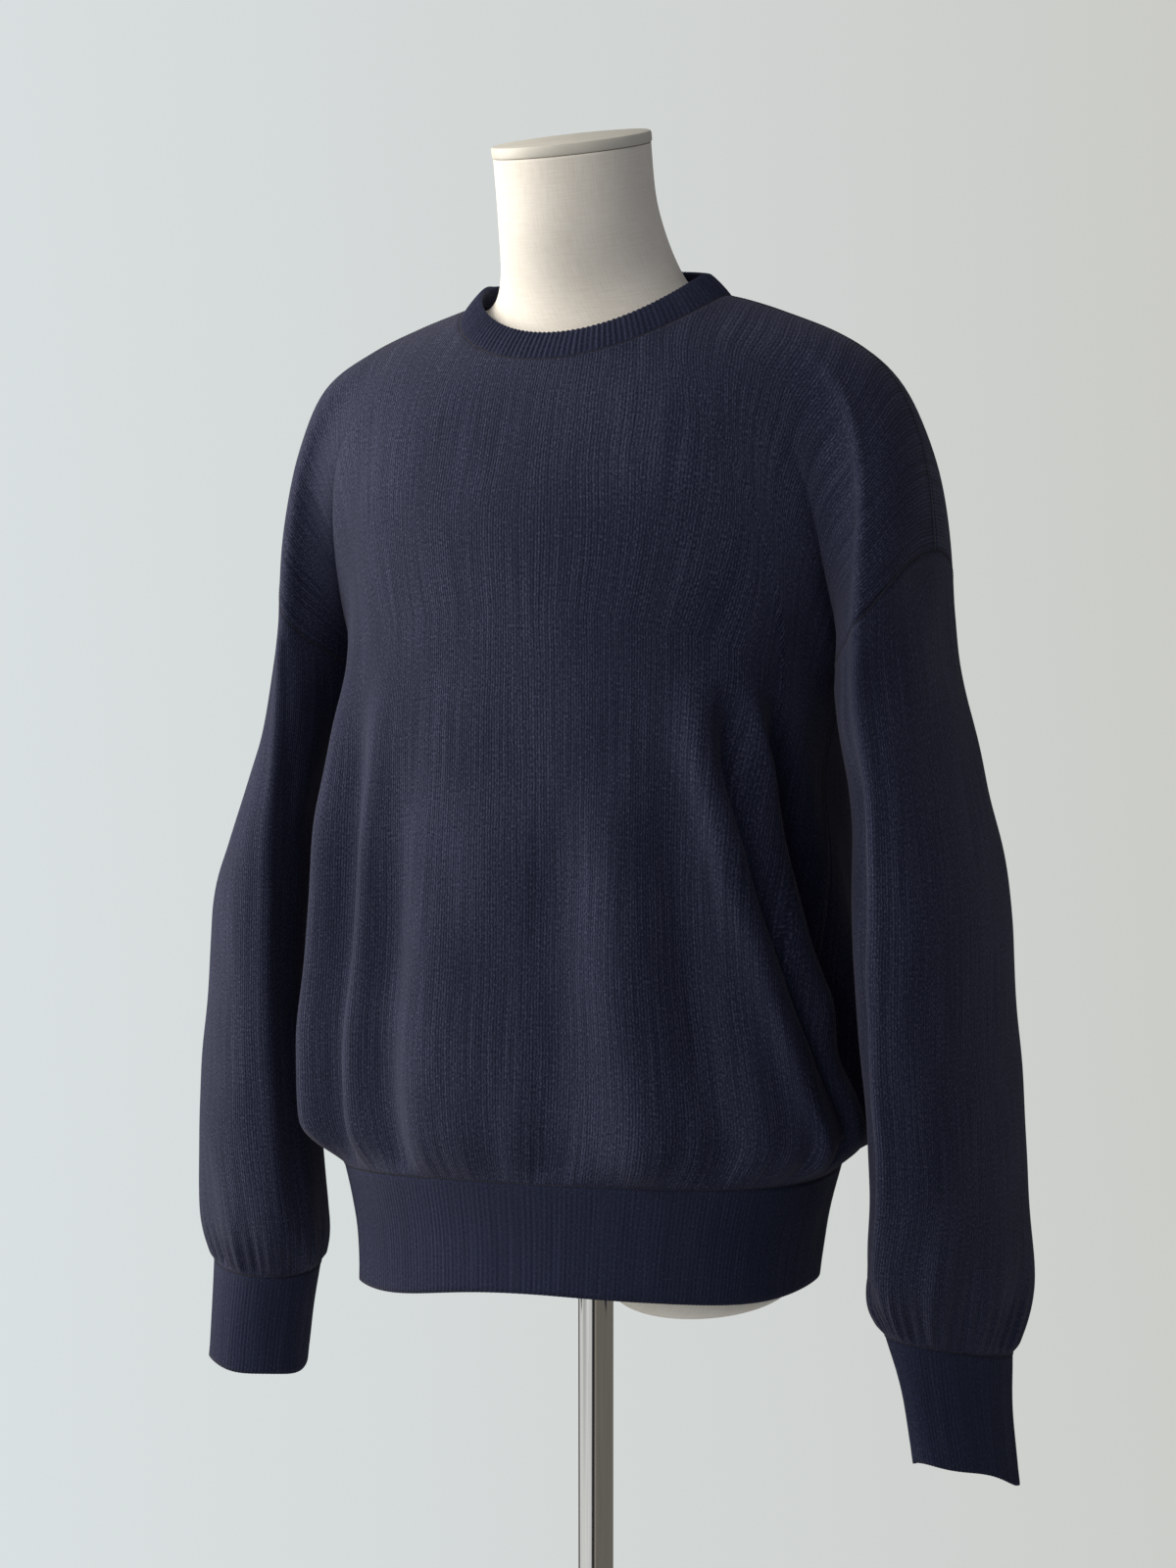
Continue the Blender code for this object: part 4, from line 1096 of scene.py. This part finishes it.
# The ribs pull the stitches close, so the bands look smoother and a little darker
RIB_HEATHER = ((0.44, "#121524"), (0.64, "#1a1e31"), (0.82, "#22273d"), (1.00, "#34394f"))
navy_rib = wool_knit("lambswool rib, heathered navy", RIB_HEATHER, 0.55, False)

# %% Yarn of the seams
seam_yarn, tree, shader = new_material("lambswool linking yarn, navy", Roughness=0.9, Sheen_Weight=0.12)
place = add_node(tree, PLACES).outputs["Object"]
fibres = add_node(tree, NOISE, {"Scale": 900.0, "Detail": 2.0}, {"Vector": place}).outputs["Fac"]
YARN_COLOURS = ((0.3, "#10131f"), (0.7, "#1e2134"))
yarn_colour = add_node(tree, RAMP, {"stops": YARN_COLOURS}, {"Fac": fibres}).outputs["Color"]
tree.links.new(yarn_colour, shader.inputs["Base Color"])

# %% [markdown]
# ### Linen, resin and metals
#
# The form's cover is a plain-woven cream linen with slubs, drawn at a 1.1 mm thread pitch where the real one
# is about 0.6 mm. The cap is a moulded resin board, matt with a faint grain. The pole is chromed steel tube,
# bright and smooth with fine lengthwise polishing marks, and the plate is brushed steel.

# %% Linen
linen, tree, shader = new_material(
    "plain-woven linen, cream", Roughness=0.88, Sheen_Weight=0.12, Sheen_Roughness=0.5
)
shader.inputs["Specular IOR Level"].default_value = 0.25
THREAD = 0.0011
flat = add_node(tree, "ShaderNodeUVMap", {"uv_map": "flat"}).outputs["UV"]
place = add_node(tree, PLACES).outputs["Object"]
parts = add_node(tree, "ShaderNodeSeparateXYZ", links={0: flat})
threads = {}
for way in ("X", "Y"):
    per_thread = {"operation": "MULTIPLY", 1: 2 * math.pi / THREAD}
    turn = add_node(tree, MATH, per_thread, {0: parts.outputs[way]}).outputs[0]
    threads[way] = add_node(tree, MATH, {"operation": "SINE"}, {0: turn}).outputs[0]
weave = add_node(tree, MATH, {"operation": "MULTIPLY"}, {0: threads["X"], 1: threads["Y"]}).outputs[0]
warp_place = add_node(tree, MAPPING, {"Scale": (900.0, 60.0, 1.0)}, {"Vector": flat}).outputs[0]
weft_place = add_node(tree, MAPPING, {"Scale": (60.0, 900.0, 1.0)}, {"Vector": flat}).outputs[0]
warp = add_node(tree, NOISE, {"Scale": 1.0, "Detail": 2.0}, {"Vector": warp_place}).outputs["Fac"]
weft = add_node(tree, NOISE, {"Scale": 1.0, "Detail": 2.0}, {"Vector": weft_place}).outputs["Fac"]
slub = add_node(tree, MATH, {"operation": "ADD"}, {0: warp, 1: weft}).outputs[0]
ageing = add_node(tree, NOISE, {"Scale": 14.0, "Detail": 3.0}, {"Vector": place}).outputs["Fac"]
tone = add_node(tree, MATH, {"operation": "MULTIPLY", 1: 0.35}, {0: slub}).outputs[0]
tone = add_node(tree, MATH, {"operation": "MULTIPLY_ADD", 1: 0.35}, {0: ageing, 2: tone}).outputs[0]
LINEN_COLOURS = ((0.30, "#e2ddd0"), (0.55, "#f0ece2"), (0.80, "#faf8f2"))
linen_colour = add_node(tree, RAMP, {"stops": LINEN_COLOURS}, {"Fac": tone}).outputs["Color"]
tree.links.new(linen_colour, shader.inputs["Base Color"])
relief = add_node(tree, MATH, {"operation": "MULTIPLY_ADD", 1: 0.5}, {0: weave, 2: slub}).outputs[0]
bumped = add_node(tree, BUMP, {"Strength": 0.45, "Distance": 0.0003}, {"Height": relief})
tree.links.new(bumped.outputs["Normal"], shader.inputs["Normal"])

# %% Cap, chrome and steel
cap_resin, tree, shader = new_material("moulded resin, pale grey beige", Roughness=0.55)
place = add_node(tree, PLACES).outputs["Object"]
grain = add_node(tree, NOISE, {"Scale": 700.0, "Detail": 2.0}, {"Vector": place}).outputs["Fac"]
cloud = add_node(tree, NOISE, {"Scale": 30.0, "Detail": 2.0}, {"Vector": place}).outputs["Fac"]
CAP_COLOURS = ((0.3, "#cfcdc2"), (0.7, "#d9d7cd"))
cap_colour = add_node(tree, RAMP, {"stops": CAP_COLOURS}, {"Fac": cloud}).outputs["Color"]
tree.links.new(cap_colour, shader.inputs["Base Color"])
bumped = add_node(tree, BUMP, {"Strength": 0.2, "Distance": 0.0002}, {"Height": grain})
tree.links.new(bumped.outputs["Normal"], shader.inputs["Normal"])

chrome, tree, shader = new_material("polished chrome plate", Metallic=1.0)
place = add_node(tree, PLACES).outputs["Object"]
drawn = add_node(tree, MAPPING, {"Scale": (1400.0, 1400.0, 9.0)}, {"Vector": place}).outputs[0]
marks = add_node(tree, NOISE, {"Scale": 1.0, "Detail": 2.0}, {"Vector": drawn}).outputs["Fac"]
rough = add_node(tree, MATH, {"operation": "MULTIPLY_ADD", 1: 0.10, 2: 0.05}, {0: marks}).outputs[0]
tree.links.new(rough, shader.inputs["Roughness"])
CHROME_COLOURS = ((0.3, "#c9c9c8"), (0.7, "#d9d9d8"))
chrome_colour = add_node(tree, RAMP, {"stops": CHROME_COLOURS}, {"Fac": marks}).outputs["Color"]
tree.links.new(chrome_colour, shader.inputs["Base Color"])

steel, tree, shader = new_material("brushed steel plate", Metallic=1.0)
place = add_node(tree, PLACES).outputs["Object"]
brushed = add_node(tree, MAPPING, {"Scale": (40.0, 1600.0, 400.0)}, {"Vector": place}).outputs[0]
marks = add_node(tree, NOISE, {"Scale": 1.0, "Detail": 3.0}, {"Vector": brushed}).outputs["Fac"]
rough = add_node(tree, MATH, {"operation": "MULTIPLY_ADD", 1: 0.25, 2: 0.22}, {0: marks}).outputs[0]
tree.links.new(rough, shader.inputs["Roughness"])
STEEL_COLOURS = ((0.3, "#a4a5a6"), (0.7, "#b4b5b5"))
steel_colour = add_node(tree, RAMP, {"stops": STEEL_COLOURS}, {"Fac": marks}).outputs["Color"]
tree.links.new(steel_colour, shader.inputs["Base Color"])
bumped = add_node(tree, BUMP, {"Strength": 0.15, "Distance": 0.0001}, {"Height": marks})
tree.links.new(bumped.outputs["Normal"], shader.inputs["Normal"])
print("finishes:", len(bpy.data.materials))

# %% [markdown]
# ## Put the pieces on the frame
#
# Every cloth and form piece stands for the CAD solid of its own name, and every piece rides on the stand
# and takes its finish from a material.

# %% Cloth pieces
cloth_meshes = {
    "front": (panels["front"], navy_stockinette, "navy_knit"),
    "back": (panels["back"], navy_stockinette, "navy_knit"),
    "sleeve_left": (sleeves["left"], navy_stockinette, "navy_knit"),
    "sleeve_right": (sleeves["right"], navy_stockinette, "navy_knit"),
    "hem_band": (hem_mesh, navy_rib, "navy_rib"),
    "cuff_left": (cuffs["left"], navy_rib, "navy_rib"),
    "cuff_right": (cuffs["right"], navy_rib, "navy_rib"),
    "neckband": (neck_mesh, navy_rib, "navy_rib"),
}
cloth = {}
for name, (mesh, material, slot) in cloth_meshes.items():
    piece = add_piece(f"{name}_cloth", mesh, material)
    if name != "neckband":
        give_wall(piece, CLOTH_WALL)
    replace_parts(piece, name)
    cloth[name] = piece


def cloth_area(mesh):
    """The area of a mesh's faces, in square metres."""
    return sum(face.area for face in mesh.polygons)


for name, piece in cloth.items():
    print(name, "area", round(cloth_area(piece.data), 4), "square metres")

# %% Seams
for name, mesh in seams.items():
    add_piece(name, mesh, seam_yarn)

# %% Form and stand
for name, mesh, material, slot in (
    ("form_torso", torso_mesh, linen, "linen_cover"),
    ("form_thigh_left", thighs["left"], linen, "linen_cover"),
    ("form_thigh_right", thighs["right"], linen, "linen_cover"),
    ("form_neck_cap", cap_mesh, cap_resin, "cap_board"),
    ("pole", pole_mesh, chrome, "pole_chrome"),
    ("base_socket", socket_mesh, chrome, "pole_chrome"),
    ("base_plate", plate_mesh, steel, "base_steel"),
):
    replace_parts(add_piece(f"{name}_skin", mesh, material), name)

# %% [markdown]
# ## Studio and camera
#
# Soft daylight comes from the viewer's left, as from a tall window, with a weak fill from the front. The
# floor is a plain pale disc that fades out into a pale grey backdrop.

# %% Floor
bm = bmesh.new()
bmesh.ops.create_circle(bm, cap_ends=True, segments=96, radius=1.6)
floor_mesh = bpy.data.meshes.new("floor")
bm.to_mesh(floor_mesh)
bm.free()
floor = bpy.data.objects.new("floor", floor_mesh)
bpy.context.scene.collection.objects.link(floor)
floor_paint, tree, shader = new_material(
    "matt floor paint, pale grey", Roughness=0.7, Base_Color=linear("#dcdfde")
)
place = add_node(tree, PLACES).outputs["Object"]
distance = add_node(tree, VECTOR, {"operation": "LENGTH"}, {0: place}).outputs["Value"]
FLOOR_FADE = {"From Min": 0.45, "From Max": 1.05, "To Min": 1.0, "To Max": 0.0}
fade = add_node(tree, "ShaderNodeMapRange", FLOOR_FADE, {"Value": distance}).outputs[0]
tree.links.new(fade, shader.inputs["Alpha"])
floor_mesh.materials.append(floor_paint)

# %% World: what the camera sees is a pale backdrop, and the light that it gives is weaker
scene = bpy.context.scene
scene.view_settings.view_transform = "Standard"
world = bpy.data.worlds.new("pale studio")
scene.world = world
world.use_nodes = True
tree = world.node_tree
tree.nodes.clear()
direction = add_node(tree, PLACES).outputs["Generated"]
rightness = add_node(
    tree, VECTOR, {"operation": "DOT_PRODUCT", 1: (0.906, 0.423, 0.08)}, {0: direction}
).outputs["Value"]
wall_place = add_node(tree, MATH, {"operation": "MULTIPLY_ADD", 1: 1.0, 2: 0.5}, {0: rightness}).outputs[0]
# The backdrop is painted lighter and cooler on the left, towards the window, and darker and warmer on the
# right: a painted falloff of the window's light
WALL_WITH_PAINTED_FALLOFF = ((0.22, "#dae1e2"), (0.50, "#d2d6d5"), (0.78, "#c9cac5"))
wall = add_node(tree, RAMP, {"stops": WALL_WITH_PAINTED_FALLOFF}, {"Fac": wall_place}).outputs["Color"]
wall_light = add_node(tree, BACKDROP, {"Strength": 1.0}, {"Color": wall})
leftness = add_node(
    tree, VECTOR, {"operation": "DOT_PRODUCT", 1: (-0.80, -0.55, 0.24)}, {0: direction}
).outputs["Value"]
SKY_COLOURS = ((0.0, "#99989a"), (0.55, "#bfc3c8"), (1.0, "#fffaf2"))
sky = add_node(tree, RAMP, {"stops": SKY_COLOURS}, {"Fac": leftness}).outputs["Color"]
# What the polished pole mirrors: pale screens on both sides, and a dark studio in front between them
room_light = add_node(tree, BACKDROP, {"Strength": 0.70}, {"Color": sky})
REFLECTED = (
    *((0.0, "#77736c"), (0.12, "#a39c90"), (0.24, "#3a3a3c"), (0.42, "#111113")),
    *((0.50, "#e9eae9"), (0.8, "#f6f6f4"), (0.93, "#4a4a4c")),
)
reflection = add_node(tree, RAMP, {"stops": REFLECTED}, {"Fac": leftness}).outputs["Color"]
mirrored = add_node(tree, BACKDROP, {"Strength": 0.95}, {"Color": reflection})
shiny = add_node(tree, "ShaderNodeLightPath").outputs["Is Glossy Ray"]
room = add_node(tree, MIX, links={0: shiny, 1: room_light.outputs[0], 2: mirrored.outputs[0]})
seen = add_node(tree, "ShaderNodeLightPath").outputs["Is Camera Ray"]
mixed = add_node(tree, MIX, links={0: seen, 1: room.outputs[0], 2: wall_light.outputs[0]})
add_node(tree, "ShaderNodeOutputWorld", links={"Surface": mixed.outputs[0]})


# %% Lights
def add_light(name, location, target, size, energy, colour):
    """A square soft light that points at a target."""
    data = bpy.data.lights.new(name, "AREA")
    data.shape = "RECTANGLE"
    data.size, data.size_y = size
    data.energy = energy
    data.color = linear(colour)[:3]
    light = bpy.data.objects.new(name, data)
    light.location = location
    light.rotation_euler = (Vector(target) - Vector(location)).to_track_quat("-Z", "Y").to_euler()
    scene.collection.objects.link(light)


add_light("window_key", (-2.15, -0.50, 1.80), (0, 0, 1.15), (1.2, 2.0), 58.0, "#fff8ee")
add_light("front_fill", (-1.00, -2.2, 2.4), (0, 0, 1.1), (1.6, 1.6), 30.0, "#fff6ee")

# %% Camera
camera_data = bpy.data.cameras.new("camera")
camera_data.lens = 55.0
camera_data.sensor_width = 36.0
camera_data.shift_x = -0.005
camera = bpy.data.objects.new("camera", camera_data)
camera.location = (0.7311, -1.5679, 1.21)
CAMERA_DOWN, CAMERA_TURN = 4.91, 25.0
camera.rotation_euler = (math.radians(90 - CAMERA_DOWN), 0, math.radians(CAMERA_TURN))
scene.collection.objects.link(camera)
scene.camera = camera
